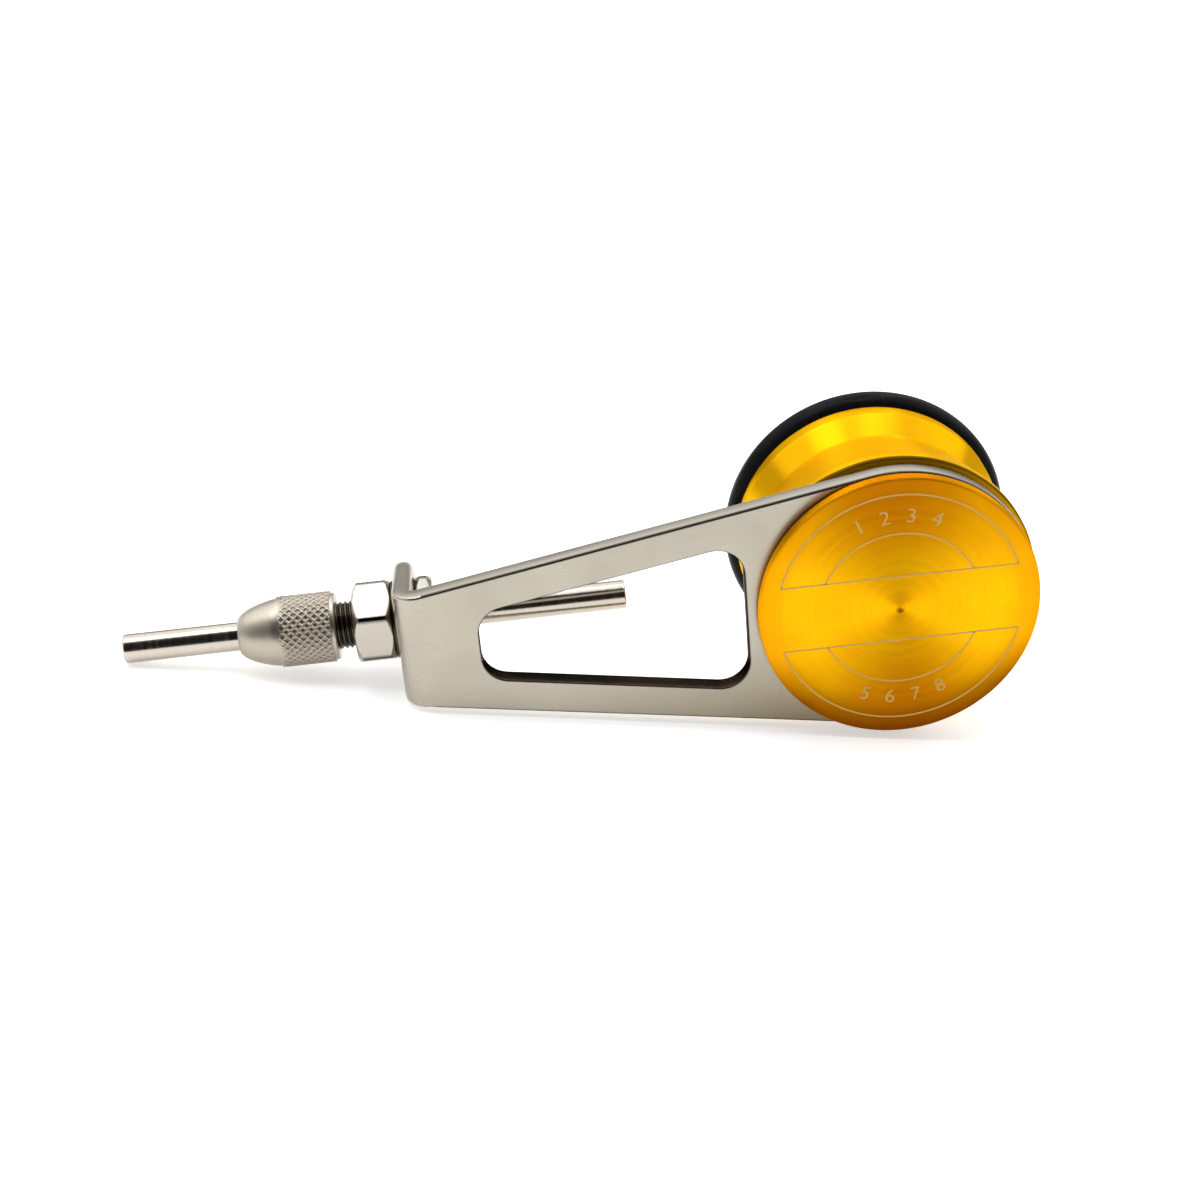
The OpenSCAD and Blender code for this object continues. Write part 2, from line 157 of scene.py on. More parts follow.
class Bench:
    """A node tree under construction, for shaders and for geometry alike."""

    def __init__(self, tree: bpy.types.NodeTree) -> None:
        """Take hold of the tree that is to be filled."""
        self.tree = tree

    def node(self, kind: str, plugs: dict[str | int, Plug] | None = None, **settings: object) -> bpy.types.Node:
        """Add a node.

        Args:
            kind: the node's type name.
            plugs: what goes into its inputs, a value or another node's output.
            settings: the node's own properties.

        Returns:
            The new node.
        """
        node = self.tree.nodes.new(kind)
        for name, value in settings.items():
            setattr(node, name, value)
        for name, value in (plugs or {}).items():
            self.plug(node.inputs[name], value)
        return node

    def plug(self, socket: Socket, value: Plug) -> None:
        """Set an input or link it.

        Args:
            socket: the input.
            value: a plain value, or the output to link from.
        """
        if isinstance(value, bpy.types.NodeSocket):
            self.tree.links.new(value, socket)
        else:
            socket.default_value = value

    def math(self, operation: str, *values: Plug) -> Socket:
        """Give the result of one sum of one to three terms."""
        return self.node("ShaderNodeMath", dict(enumerate(values)), operation=operation).outputs[0]

    def vector(self, operation: str, *values: Plug) -> Socket:
        """Give the result of one vector sum."""
        return self.node("ShaderNodeVectorMath", dict(enumerate(values)), operation=operation).outputs["Vector"]

    def product(self, *values: Plug) -> Socket:
        """Multiply the values, from left to right."""
        return reduce(lambda left, right: self.math("MULTIPLY", left, right), values)

    def length(self, x: Socket, y: Socket) -> Socket:
        """Give the distance that lies x and y away, at a right angle."""
        return self.math("SQRT", self.math("ADD", self.product(x, x), self.product(y, y)))

    def axes(self, vector: Socket) -> tuple[Socket, Socket, Socket]:
        """Split a vector into X, Y and Z."""
        return tuple(self.node("ShaderNodeSeparateXYZ", {"Vector": vector}).outputs)

    def between(self, value: Socket, low: float, high: float, span: Point = (0.3, 0.7)) -> Socket:
        """Spread a value from low to high over a span of its own range."""
        return self.node("ShaderNodeMapRange", {"Value": value, "From Min": span[0], "From Max": span[1],
                                                "To Min": low, "To Max": high}).outputs["Result"]

    def band(self, value: Plug, ends: Point, soft: float) -> Socket:
        """Give 1 where a value lies within a band and 0 outside it.

        Args:
            value: what is tested.
            ends: where the band starts and ends.
            soft: the width of its soft edge.

        Returns:
            The mask.
        """
        centre, half = (ends[0] + ends[1]) / 2, (ends[1] - ends[0]) / 2
        away = self.math("ABSOLUTE", self.math("SUBTRACT", value, centre))
        return self.between(away, 0.0, 1.0, (half + soft, half))


class ShaderBench(Bench):
    """A material under construction, with one metal, plastic or rubber surface."""

    def __init__(self, name: str) -> None:
        """Start a material.

        Args:
            name: the material's name.
        """
        self.material = bpy.data.materials.new(name)
        self.material.use_nodes = True
        super().__init__(self.material.node_tree)
        self.tree.nodes.clear()
        self.surface = self.node("ShaderNodeBsdfPrincipled")
        self.node("ShaderNodeOutputMaterial", {"Surface": self.surface.outputs["BSDF"]})
        self.position = self.node("ShaderNodeTexCoord").outputs["Object"]

    def set(self, **values: Plug) -> None:
        """Set the surface's sockets.

        Args:
            values: the sockets' names, with _ for a space, and their values.
        """
        for name, value in values.items():
            if isinstance(value, tuple) and len(value) == 3:
                value = (*value, 1.0)
            self.plug(self.surface.inputs[name.replace("_", " ")], value)

    def placed(self, to_row: Matrix) -> Socket:
        """Give the position in another frame's millimetres.

        Args:
            to_row: the matrix from that frame to the row.

        Returns:
            The position there.
        """
        place, turn, size = to_row.inverted().decompose()
        node = self.node("ShaderNodeMapping", {"Vector": self.position, "Location": place,
                                               "Rotation": turn.to_euler(), "Scale": size}, vector_type="POINT")
        return node.outputs["Vector"]

    def noise(self, vector: Socket, scale: float, detail: float = 2.0, roughness: float = 0.5) -> Socket:
        """Give a noise of about 0.5, with so many waves in one unit of the vector."""
        return self.node("ShaderNodeTexNoise", {"Vector": vector, "Scale": scale, "Detail": detail,
                                                "Roughness": roughness}).outputs["Fac"]

    def uneven(self, middle: float, fine: Socket, fine_span: Point, broad: Socket, broad_span: Point) -> Socket:
        """Let a roughness vary: each noise adds its span's first value at its low end, its second at its high end."""
        near, far = (middle + step for step in fine_span)
        return self.math("ADD", self.between(fine, near, far), self.between(broad, *broad_span))

    def blend(self, share: Plug, first: Colour | Socket, second: Colour | Socket) -> Socket:
        """Mix two colours.

        Args:
            share: how much of the second colour is taken.
            first: the first colour.
            second: the second colour.

        Returns:
            The mixed colour.
        """
        node = self.node("ShaderNodeMix", data_type="RGBA")
        self.plug(node.inputs[MIX_SHARE], share)
        for place, colour in ((MIX_FIRST, first), (MIX_SECOND, second)):
            self.plug(node.inputs[place], (*colour, 1.0) if isinstance(colour, tuple) else colour)
        return node.outputs[MIX_RESULT]

    def relief(self, height: Socket, depth_mm: float, below: Socket | None = None) -> Socket:
        """Turn a height into a bumped normal.

        Args:
            height: the height, from 0 to 1.
            depth_mm: the real depth of that height.
            below: a bumped normal that this one lies on.

        Returns:
            The normal.
        """
        node = self.node("ShaderNodeBump", {"Height": height, "Distance": depth_mm * MM, "Strength": 1.0})
        if below is not None:
            self.plug(node.inputs["Normal"], below)
        return node.outputs["Normal"]

    def lathe_polar(self, to_row: Matrix) -> tuple[Socket, Socket, Socket, Socket]:
        """Give the distance from a lathe's axis, the height over it, the place along it and a vector for marks.

        Args:
            to_row: the matrix from the lathe to the row.

        Returns:
            The radius, the height, the place along the axis, and the first and last as a vector, in millimetres.
        """
        x, height, along = self.axes(self.placed(to_row))
        radius = self.length(x, height)
        pair = self.node("ShaderNodeCombineXYZ", {"X": radius, "Y": along})
        return radius, height, along, pair.outputs["Vector"]

    def turned_tangent(self, to_row: Matrix) -> Socket:
        """Give the direction of a lathe's tool marks.

        Args:
            to_row: the matrix from the lathe to the row.

        Returns:
            The direction, in the world.
        """
        axis = (to_row.to_3x3() @ Vector((0, 0, 1))).normalized()
        arm = self.vector("SUBTRACT", self.position, tuple(to_row.translation))
        unit = self.vector("NORMALIZE", self.vector("CROSS_PRODUCT", tuple(axis), arm))
        world = self.node("ShaderNodeVectorTransform", {"Vector": unit}, vector_type="VECTOR",
                          convert_from="OBJECT", convert_to="WORLD")
        return world.outputs["Vector"]


@dataclass(frozen=True)
class TurnedMetal:
    """Metal from the lathe: fine rings round the axis that spread its highlights across them.

    Args:
        name: the material's name.
        base: its colour.
        deep: the colour in the tool marks.
        roughness: its gloss, from 0 to 1.
        spread: how strongly the highlights spread across the marks.
        mark_mm: the width of a tool mark.
        depth_mm: the depth of a tool mark.
        mark_share: how much of the deep colour a tool mark shows.
        grime: the radii where the colour goes from dark to bright, or none; painted shade, and a knurl's darker
            valleys.
        grime_band: from where to where along the axis that darker band lies.
        grime_tone: how bright the deep colour stays in that darker band.
        grime_below: whether the painted shade lies only on the side that is turned down.
        grime_share: how much of it shows where it is darkest.
        grime_soft: the width of its band's soft ends.
        painted_fan_shade: how much of the deep colour is painted in as shade towards the top and the bottom of the
            face, and at its rim.
        painted_shade_rise: the heights above or below the axis between which that deep colour comes in.
        fan: how narrow that deep colour's fan is.
        fan_room: what is added to the radius, so that the fan stays soft at the axis.
        rim: the radii between which the deep colour comes in at the rim.
        rim_share: how strong it is there, next to the fan.
        edge_tint: the colour of what it mirrors at a flat angle.
        cloud_share: how much of the deep colour a cloud shows.
        clouds_per_m: how many clouds lie in a metre.
        rings_per_mark: how many broad rings lie in the width of a tool mark.
        mark_gloss: how much less and more rough the marks are.
        cloud_gloss: how much less and more rough a broad ring is.
    """

    name: str
    base: Colour
    deep: Colour
    roughness: float = 0.28
    spread: float = 0.7
    mark_mm: float = 0.16
    depth_mm: float = 0.0016
    mark_share: float = 0.4
    grime: Point | None = None
    grime_band: Point = (0.0, 1.0)
    grime_tone: float = 1.0
    grime_below: bool = False
    grime_share: float = 0.9
    grime_soft: float = 0.1
    painted_fan_shade: float = 0.0
    painted_shade_rise: Point = (4.0, 9.5)
    fan: float = 4.0
    fan_room: float = 0.5
    rim: Point = (11.0, 13.8)
    rim_share: float = 0.4
    edge_tint: Colour = WHITE
    cloud_share: float = 0.22
    clouds_per_m: float = 140.0
    rings_per_mark: float = 0.3
    mark_gloss: Point = (-0.04, 0.05)
    cloud_gloss: Point = (-0.02, 0.02)

    def painted_fan_shade_share(self, bench: ShaderBench, radius: Socket, height: Socket) -> Socket:
        """Give the share of painted shade: a fan above and below the axis, and the rim.

        Args:
            bench: the material under construction.
            radius: the distance from the axis.
            height: the height over the axis.

        Returns:
            The share.
        """
        rise = bench.math("ABSOLUTE", height)
        steep = bench.math("DIVIDE", rise, bench.math("ADD", radius, self.fan_room))
        fan = bench.product(bench.math("POWER", steep, self.fan), bench.between(rise, 0.0, self.painted_fan_shade, self.painted_shade_rise))
        return bench.math("MAXIMUM", fan, bench.between(radius, 0.0, self.rim_share * self.painted_fan_shade, self.rim))

    def shaded_and_grimy(self, bench: ShaderBench, radius: Socket, height: Socket, along: Socket) -> Socket:
        """Give the share of the darker band: painted shade, and in a knurl the darker valleys.

        Args:
            bench: the material under construction.
            radius: the distance from the axis.
            height: the height over the axis.
            along: the place along the axis.

        Returns:
            The share.
        """
        share = bench.product(bench.between(radius, self.grime_share, 0.0, self.grime),
                              bench.band(along, self.grime_band, self.grime_soft))
        if self.grime_below:
            share = bench.product(share, bench.between(height, 0.0, 1.0, self.painted_shade_rise))
        return share

    def make(self, to_row: Matrix) -> Material:
        """Build the material.

        Args:
            to_row: the matrix from the lathe that turned the piece to the row.

        Returns:
            The material.
        """
        bench = ShaderBench(self.name)
        radius, height, along, pair = bench.lathe_polar(to_row)
        marks = bench.noise(pair, 1 / self.mark_mm, detail=3.0, roughness=0.6)
        broad = bench.noise(pair, self.rings_per_mark / self.mark_mm, detail=1.0)
        cloud = bench.noise(bench.position, self.clouds_per_m)
        colour = bench.blend(bench.between(marks, self.mark_share, 0.0), self.base, self.deep)
        colour = bench.blend(bench.between(cloud, 0.0, self.cloud_share), colour, self.deep)
        # Painted shade on the face: darker in a fan above and below the axis and at the rim.
        if self.painted_fan_shade > 0:
            colour = bench.blend(self.painted_fan_shade_share(bench, radius, height), colour, self.deep)
        # Painted shade at some radii: a thread's roots, a nut's corners, a knob's lower rim and a spool's near edge;
        # a knurl's valleys are darker too.
        if self.grime is not None:
            grime = tuple(part * self.grime_tone for part in self.deep)
            colour = bench.blend(self.shaded_and_grimy(bench, radius, height, along), colour, grime)
        bench.set(Base_Color=colour, Metallic=1.0, Anisotropic=self.spread, Anisotropic_Rotation=ACROSS,
                  Roughness=bench.uneven(self.roughness, marks, self.mark_gloss, broad, self.cloud_gloss),
                  Tangent=bench.turned_tangent(to_row), Specular_Tint=self.edge_tint,
                  Normal=bench.relief(marks, self.depth_mm))
        return bench.material


@dataclass(frozen=True)
class SatinSteel:
    """Stainless strip with a fine grain along it and the faint clouds of a tumbled part, and painted shade on its
    edges, low towards the knob and on the tab.

    Args:
        name: the material's name.
        base: its colour.
        deep: the colour of the darker grain.
        roughness: its gloss, from 0 to 1.
        grain_mm: the length and the width of a grain line.
        depth_mm: the depth of the grain.
        cut: the colour of the painted shade on the window's cut edges.
        cut_y: between which depths of the strip those edges lie.
        cut_x: between which places along the arm they lie.
        cut_half: half the height of the window's zone at the spool's axis.
        taper: how much that half grows for each millimetre towards the spool.
        edge_y: between which depths the rounded front edge lies.
        painted_low_shade: the colour of the painted shade on the arm's lower part towards the knob, under the window.
        painted_low_shade_x: from where to where along the arm that zone grows darker.
        painted_low_shade_z: from where to where down the arm it grows darker.
        tab_y: from where to where across the bend the tab grows darker.
        tab_share: how much of that painted shade the tab shows.
        rim_from: from where along the arm the front edge is dark.
        rim_share: how much of the cut edges' painted shade the front edge shows.
        soft: the width of the dark edges' soft borders.
        tumble_per_mm: how many tumbling marks lie in a millimetre.
        cloud_per_mm: how many clouds lie in a millimetre.
        grain_share: how much of the deep colour the grain shows.
        cloud_share: how much of it a cloud shows.
        tumble_less: how many times shallower than the grain the tumbling marks are.
        tumble_gloss: how much less and more rough they are.
        cloud_gloss: how much more and less rough a cloud is.
    """

    name: str
    base: Colour = (0.43, 0.40, 0.335)
    deep: Colour = (0.34, 0.31, 0.255)
    roughness: float = 0.30
    grain_mm: Point = (3.0, 0.09)
    depth_mm: float = 0.0022
    cut: Colour = (0.045, 0.037, 0.03)
    cut_y: Point = (0.10, 1.90)
    cut_x: Point = (-42.4, -14.5)
    cut_half: float = 12.3
    taper: float = 0.17
    edge_y: Point = (0.04, 0.22)
    painted_low_shade: Colour = (0.22, 0.185, 0.12)
    painted_low_shade_x: Point = (-50.0, -12.0)
    painted_low_shade_z: Point = (-3.5, -12.5)
    tab_y: Point = (2.2, 4.0)
    tab_share: float = 0.25
    rim_from: float = -47.0
    rim_share: float = 0.9
    soft: float = 0.04
    tumble_per_mm: float = 5.5
    cloud_per_mm: float = 0.16
    grain_share: float = 0.5
    cloud_share: float = 0.30
    tumble_less: float = 6.0
    tumble_gloss: Point = (-0.02, 0.02)
    cloud_gloss: Point = (0.05, -0.04)

    def dark_masks(self, bench: ShaderBench, place: Socket) -> tuple[Socket, Socket]:
        """Give the masks of the painted shade on the edges and of the painted shade low on the arm and on the tab.

        Args:
            bench: the material under construction.
            place: the position in the maker's frame.

        Returns:
            1 on the window's cut edges and the strip's rounded front edge, and the share of the painted shade low on
            the arm and on the tab.
        """
        x, y, z = bench.axes(place)
        deep, long, edge = (bench.band(value, ends, self.soft)
                            for value, ends in ((y, self.cut_y), (x, self.cut_x), (y, self.edge_y)))
        room = bench.math("ADD", bench.product(x, self.taper), self.cut_half)
        walls = bench.product(deep, long, bench.math("LESS_THAN", bench.math("ABSOLUTE", z), room))
        rim = bench.product(edge, bench.math("GREATER_THAN", x, self.rim_from), self.rim_share)
        painted_low_shade = bench.product(*(bench.between(value, 0.0, 1.0, span)
                                  for value, span in ((x, self.painted_low_shade_x), (z, self.painted_low_shade_z))))
        tab = bench.between(y, 0.0, self.tab_share, self.tab_y)
        return bench.math("MAXIMUM", walls, rim), bench.math("MAXIMUM", painted_low_shade, tab)

    def make(self, to_row: Matrix) -> Material:
        """Build the material.

        Args:
            to_row: the matrix from the maker's frame to the row.

        Returns:
            The material.
        """
        bench = ShaderBench(self.name)
        place = bench.placed(to_row)
        length, width = self.grain_mm
        drawn = bench.vector("MULTIPLY", place, (1 / length, 1 / width, 1 / width))
        grain = bench.noise(drawn, 1.0, detail=3.0, roughness=0.65)
        tumble = bench.noise(place, self.tumble_per_mm, detail=3.0, roughness=0.6)
        cloud = bench.noise(place, self.cloud_per_mm, detail=3.0)
        colour = bench.blend(bench.between(grain, self.grain_share, 0.0), self.base, self.deep)
        colour = bench.blend(bench.between(cloud, self.cloud_share, 0.0), colour, self.deep)
        # Painted shade: the window's cut edges and the rounded front edge go dark and lose their tinted reflection;
        # the lower part towards the knob and the tab's inner face go darker.
        dark, painted_low_shade = self.dark_masks(bench, place)
        colour = bench.blend(dark, bench.blend(painted_low_shade, colour, self.painted_low_shade), self.cut)
        normal = bench.relief(tumble, self.depth_mm / self.tumble_less, bench.relief(grain, self.depth_mm))
        bench.set(Base_Color=colour, Metallic=1.0, Normal=normal, Specular_Tint=bench.blend(dark, WHITE, self.cut),
                  Roughness=bench.uneven(self.roughness, tumble, self.tumble_gloss, cloud, self.cloud_gloss))
        return bench.material


@dataclass(frozen=True)
class SoftStuff:
    """Rubber, nylon, leather and other pieces without metal.

    Args:
        name: the material's name.
        base: its colour.
        deep: the colour of its darker spots.
        roughness: its gloss, from 0 to 1.
        grain_mm: the size of its grain.
        depth_mm: the depth of its grain.
        specular: the strength of its plain reflection.
        grain_share: how much of the deep colour a grain shows.
        cloud_per_mm: how many clouds lie in a millimetre.
        grain_gloss: how much less and more rough a grain is.
        cloud_gloss: how much less and more rough a cloud is.
    """

    name: str
    base: Colour
    deep: Colour
    roughness: float
    grain_mm: float
    depth_mm: float
    specular: float = 0.5
    grain_share: float = 0.8
    cloud_per_mm: float = 0.2
    grain_gloss: Point = (-0.03, 0.05)
    cloud_gloss: Point = (-0.03, 0.04)

    def make(self, to_row: Matrix) -> Material:
        """Build the material.

        Args:
            to_row: the matrix from the maker's frame to the row.

        Returns:
            The material.
        """
        bench = ShaderBench(self.name)
        place = bench.placed(to_row)
        grain = bench.noise(place, 1 / self.grain_mm, detail=4.0, roughness=0.6)
        cloud = bench.noise(place, self.cloud_per_mm)
        bench.set(Base_Color=bench.blend(bench.between(grain, 0.0, self.grain_share), self.base, self.deep),
                  Roughness=bench.uneven(self.roughness, grain, self.grain_gloss, cloud, self.cloud_gloss),
                  Metallic=0.0, Specular_IOR_Level=self.specular, Normal=bench.relief(grain, self.depth_mm))
        return bench.material


@dataclass(frozen=True)
class FloorPaint:
    """The studio's pale floor, a light table.

    Args:
        name: the material's name.
        base: its colour.
        roughness: its gloss, from 0 to 1.
        specular: the strength of its plain reflection.
        glow: the strength of the light from below.
        cloud_tone: how bright the colour stays in a cloud.
        clouds_per_m: how many clouds lie in a metre.
    """

    name: str = "pale_floor"
    base: Colour = (0.93, 0.93, 0.925)
    roughness: float = 0.6
    specular: float = 0.2
    glow: float = 0.58
    cloud_tone: float = 0.985
    clouds_per_m: float = 3.0

    def make(self) -> Material:
        """Build the material, matt and a little cloudy.

        Returns:
            The material.
        """
        bench = ShaderBench(self.name)
        cloud = bench.noise(bench.position, self.clouds_per_m)
        deep = tuple(self.cloud_tone * part for part in self.base)
        bench.set(Base_Color=bench.blend(bench.between(cloud, 0.0, 1.0), self.base, deep),
                  Roughness=self.roughness, Specular_IOR_Level=self.specular, Emission_Color=self.base,
                  Emission_Strength=self.glow)
        return bench.material


# Painted shade: the face is darker in a fan above and below its axis, at its rim and on its lower rim.
GOLD_KNOB = TurnedMetal(
    "gold_knob", (1.0, 0.545, 0.003), (0.60, 0.115, 0.001), roughness=0.44, spread=0.97, depth_mm=0.0006,
    mark_share=0.22, grime=(14.1, 10.5), grime_band=(-2.0, 3.0), grime_tone=0.35, grime_below=True, painted_fan_shade=0.75,
    edge_tint=(1.0, 0.74, 0.25))
# Painted shade: a dark line along the near flange's edge.
GOLD_SPOOL = TurnedMetal(
    "gold_spool", (0.86, 0.45, 0.003), (0.74, 0.33, 0.002), roughness=0.34, spread=0.95, mark_mm=0.20,
    depth_mm=0.0006, mark_share=0.3, grime=(14.5, 14.2), grime_band=(2.2, 2.8), grime_tone=0.06,
    edge_tint=(1.0, 0.95, 0.5))
TUBE_STEEL = TurnedMetal(
    "polished_tube", (0.53, 0.475, 0.41), (0.44, 0.39, 0.33), roughness=0.19, spread=0.2, mark_mm=0.35,
    depth_mm=0.0004)
NOSE_STEEL = TurnedMetal(
    "knurled_steel", (0.49, 0.445, 0.375), (0.19, 0.155, 0.115), roughness=0.40, spread=0.5, mark_mm=0.30,
    depth_mm=0.0004, mark_share=0.12, grime=(3.50, 3.62), grime_band=(56.8, 61.9))
# Painted shade: the thread is darkened as a whole for the shade it lies in between the nuts, and darker still in its
# roots.
SHADED_THREAD_STEEL = TurnedMetal(
    "shaded_threaded_steel", (0.13, 0.11, 0.092), (0.015, 0.011, 0.009), roughness=0.26, spread=0.3, mark_mm=0.2,
    depth_mm=0.001, mark_share=0.2, grime=(2.20, 2.43), grime_band=(40.0, 60.0))
# Painted shade: the nuts are darker along their rounded corners between the flats.
NUT_STEEL = TurnedMetal(
    "nut_steel", (0.47, 0.43, 0.37), (0.30, 0.27, 0.23), roughness=0.15, spread=0.15, mark_mm=0.25,
    depth_mm=0.0006, mark_share=0.2, grime=(4.51, 4.38), grime_band=(40.0, 60.0), grime_tone=0.2)
# Painted shade: a darker copy of the nuts' finish for the inner nut.
SHADED_INNER_NUT_STEEL = replace(
    NUT_STEEL, name="shaded_inner_nut_steel", base=(0.30, 0.28, 0.25), deep=(0.20, 0.185, 0.16), roughness=0.24)
PLAIN_STEEL = TurnedMetal(
    "plain_steel", (0.44, 0.42, 0.38), (0.32, 0.30, 0.27), roughness=0.30, spread=0.4, mark_mm=0.15,
    depth_mm=0.0015)
# Painted shade: a near-black copy of the plain finish for the outer washer, between the tab and the outer nut.
SHADED_WASHER_STEEL = replace(
    PLAIN_STEEL, name="shaded_washer_steel", base=(0.06, 0.052, 0.043), deep=(0.03, 0.026, 0.02), roughness=0.34)
SPRING_STEEL = TurnedMetal(
    "spring_steel", (0.30, 0.30, 0.32), (0.17, 0.17, 0.19), roughness=0.34, spread=0.3, mark_mm=0.2,
    depth_mm=0.0015)
BRONZE = TurnedMetal(
    "oiled_bronze", (0.58, 0.36, 0.17), (0.34, 0.19, 0.08), roughness=0.38, spread=0.2, mark_mm=0.12,
    depth_mm=0.003)
ARM_STEEL = SatinSteel("satin_arm_steel")
RUBBER = SoftStuff(
    "black_rubber", (0.004, 0.004, 0.005), (0.008, 0.008, 0.009), roughness=0.26, grain_mm=0.45, depth_mm=0.003,
    specular=0.045)
NYLON = SoftStuff(
    "white_nylon", (0.74, 0.73, 0.69), (0.64, 0.63, 0.59), roughness=0.5, grain_mm=0.4, depth_mm=0.002)
LEATHER = SoftStuff(
    "brake_leather", (0.26, 0.15, 0.07), (0.14, 0.08, 0.035), roughness=0.65, grain_mm=0.25, depth_mm=0.03)
LASER_MARK = SoftStuff(
    "laser_mark", (0.72, 0.43, 0.085), (0.60, 0.34, 0.055), roughness=0.55, grain_mm=0.1, depth_mm=0.002)


def rounded(corners: list[Corner], closed: bool, steps: int = 4, hold: float = 0.02) -> list[Point]:
    """Round the corners of an outline and hold the flats beside each round with a close point.

    Args:
        corners: each corner's two places and the radius that it gets, 0 for none.
        closed: whether the last corner joins the first.
        steps: pieces in each round.
        hold: how close the held points lie to a round.

    Returns:
        The outline's points.
    """
    points: list[Point] = []
    last = len(corners) - 1
    for place, (x, y, radius) in enumerate(corners):
        here = Vector((x, y))
        if radius <= 0 or (not closed and place in (0, last)):
            points.append((x, y))
            continue
        back = Vector(corners[place - 1][:2]) - here
        ahead = Vector(corners[(place + 1) % len(corners)][:2]) - here
        half = back.angle(ahead) / 2
        reach = min(radius / math.tan(half), MOST_OF_SIDE * back.length, MOST_OF_SIDE * ahead.length)
        radius = reach * math.tan(half)
        middle = here + (back.normalized() + ahead.normalized()).normalized() * radius / math.sin(half)
        start = here + back.normalized() * reach - middle
        sweep = start.angle_signed(here + ahead.normalized() * reach - middle)
        points.append(tuple(here + back.normalized() * (reach + hold)))
        for step in range(steps + 1):
            turned = start.copy()
            turned.rotate(Matrix.Rotation(-sweep * step / steps, 2))
            points.append(tuple(middle + turned))
        points.append(tuple(here + ahead.normalized() * (reach + hold)))
    return points


def cover(body: Builder, rows: list[list[bmesh.types.BMVert]], closed: bool = False) -> None:
    """Cover neighbouring rings of vertices with faces.

    Args:
        body: the mesh under construction.
        rows: the rings, each with as many vertices as the next.
        closed: whether the last ring joins the first.
    """
    count = len(rows[0])
    for near, far in zip(rows, rows[1:] + (rows[:1] if closed else [])):
        for spot in range(count):
            after = (spot + 1) % count
            body.faces.new((near[spot], near[after], far[after], far[spot]))


def written(name: str, body: Builder, to_row: Matrix) -> Mesh:
    """Write a mesh and place it.

    Args:
        name: the mesh's name.
        body: the mesh under construction, which is freed.
        to_row: the matrix to the row.

    Returns:
        The mesh.
    """
    mesh = bpy.data.meshes.new(name)
    body.to_mesh(mesh)
    body.free()
    mesh.transform(to_row)
    mesh.update()
    return mesh


def finished(name: str, body: Builder, to_row: Matrix, sharp_deg: float = SHARP_DEG) -> Mesh:
    """Write a mesh, place it and shade it smooth between its sharp edges.

    Args:
        name: the mesh's name.
        body: the mesh under construction, which is freed.
        to_row: the matrix to the row.
        sharp_deg: the least angle of a sharp edge.

    Returns:
        The mesh.
    """
    bmesh.ops.recalc_face_normals(body, faces=body.faces)
    mesh = written(name, body, to_row)
    mesh.polygons.foreach_set("use_smooth", [True] * len(mesh.polygons))
    mesh.set_sharp_from_angle(angle=math.radians(sharp_deg))
    mesh.update()
    return mesh


def skin(name: str, rings: list[list[Vector]], closed: bool, to_row: Matrix, sharp_deg: float = SHARP_DEG) -> Mesh:
    """Cover a row of rings with faces.

    Args:
        name: the mesh's name.
        rings: the rings; where the row is open, its end rings lie in one point each.
        closed: whether the last ring joins the first.
        to_row: the matrix from the rings' frame to the row.
        sharp_deg: the least angle of a sharp edge.

    Returns:
        A closed mesh.
    """
    body = bmesh.new()
    cover(body, [[body.verts.new(point) for point in ring] for ring in rings], closed)
    bmesh.ops.remove_doubles(body, verts=body.verts, dist=SAME_PLACE)
    return finished(name, body, to_row, sharp_deg)


def evenly(start: float, end: float, steps: int) -> list[float]:
    """Give evenly spaced places, so many steps apart and both ends included."""
    return [start + (end - start) * step / steps for step in range(steps + 1)]


def arc(radius: float, angles: list[float], x: float = 0.0, y: float = 0.0) -> list[Point]:
    """Give the points at some angles of the circle about x and y."""
    return [(x + radius * math.cos(a), y + radius * math.sin(a)) for a in angles]


def circle(radius: float, steps: int, x: float = 0.0, y: float = 0.0) -> list[Point]:
    """Give the evenly spaced points of the circle about x and y."""
    return arc(radius, evenly(0.0, FULL_TURN, steps)[:-1], x, y)


def turned(name: str, outline: list[Point], closed: bool, to_row: Matrix, segments: int) -> Mesh:
    """Turn an outline of radii and places about a lathe's Z axis; a ring's or tube's outline is closed."""
    rings = [[Vector((*point, along)) for point in circle(radius, segments)] for radius, along in outline]
    return skin(name, rings, closed, to_row)


def put_in_scene(name: str, data: bpy.types.ID) -> Thing:
    """Put an object in the scene.

    Args:
        name: the object's name.
        data: its mesh, text, light or camera.

    Returns:
        The object.
    """
    thing = bpy.data.objects.new(name, data)
    bpy.context.scene.collection.objects.link(thing)
    return thing


def made_real(thing: Thing) -> Mesh:
    """Turn an object into the plain mesh that it shows.

    Args:
        thing: the object, which is removed with its modifiers.

    Returns:
        The mesh.
    """
    graph = bpy.context.evaluated_depsgraph_get()
    mesh = bpy.data.meshes.new_from_object(thing.evaluated_get(graph), depsgraph=graph)
    mesh.name = thing.data.name
    thing.modifiers.clear()
    bpy.data.objects.remove(thing)
    return mesh


@dataclass
class Piece:
    """One finished piece of the visual model.

    Args:
        name: its name.
        mesh: its mesh, placed in the row.
        body: the body that it rides on.
        slot: the record's material slot; not used.
        material: its finish.
        node: the CAD node that it stands for, or none.
    """

    name: str
    mesh: Mesh
    body: str
    slot: str
    material: Material
    node: str | None = None

    def mount(self) -> None:
        """Dress the piece and put it in the scene, on its body."""
        self.mesh.materials.clear()
        self.mesh.materials.append(self.material)
        thing = put_in_scene(self.name, self.mesh)
        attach(thing, self.body)
        if self.node is not None:
            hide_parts(self.node)
        LOG.info("%s: %d faces, rides on %s", self.name, len(self.mesh.polygons), self.body)


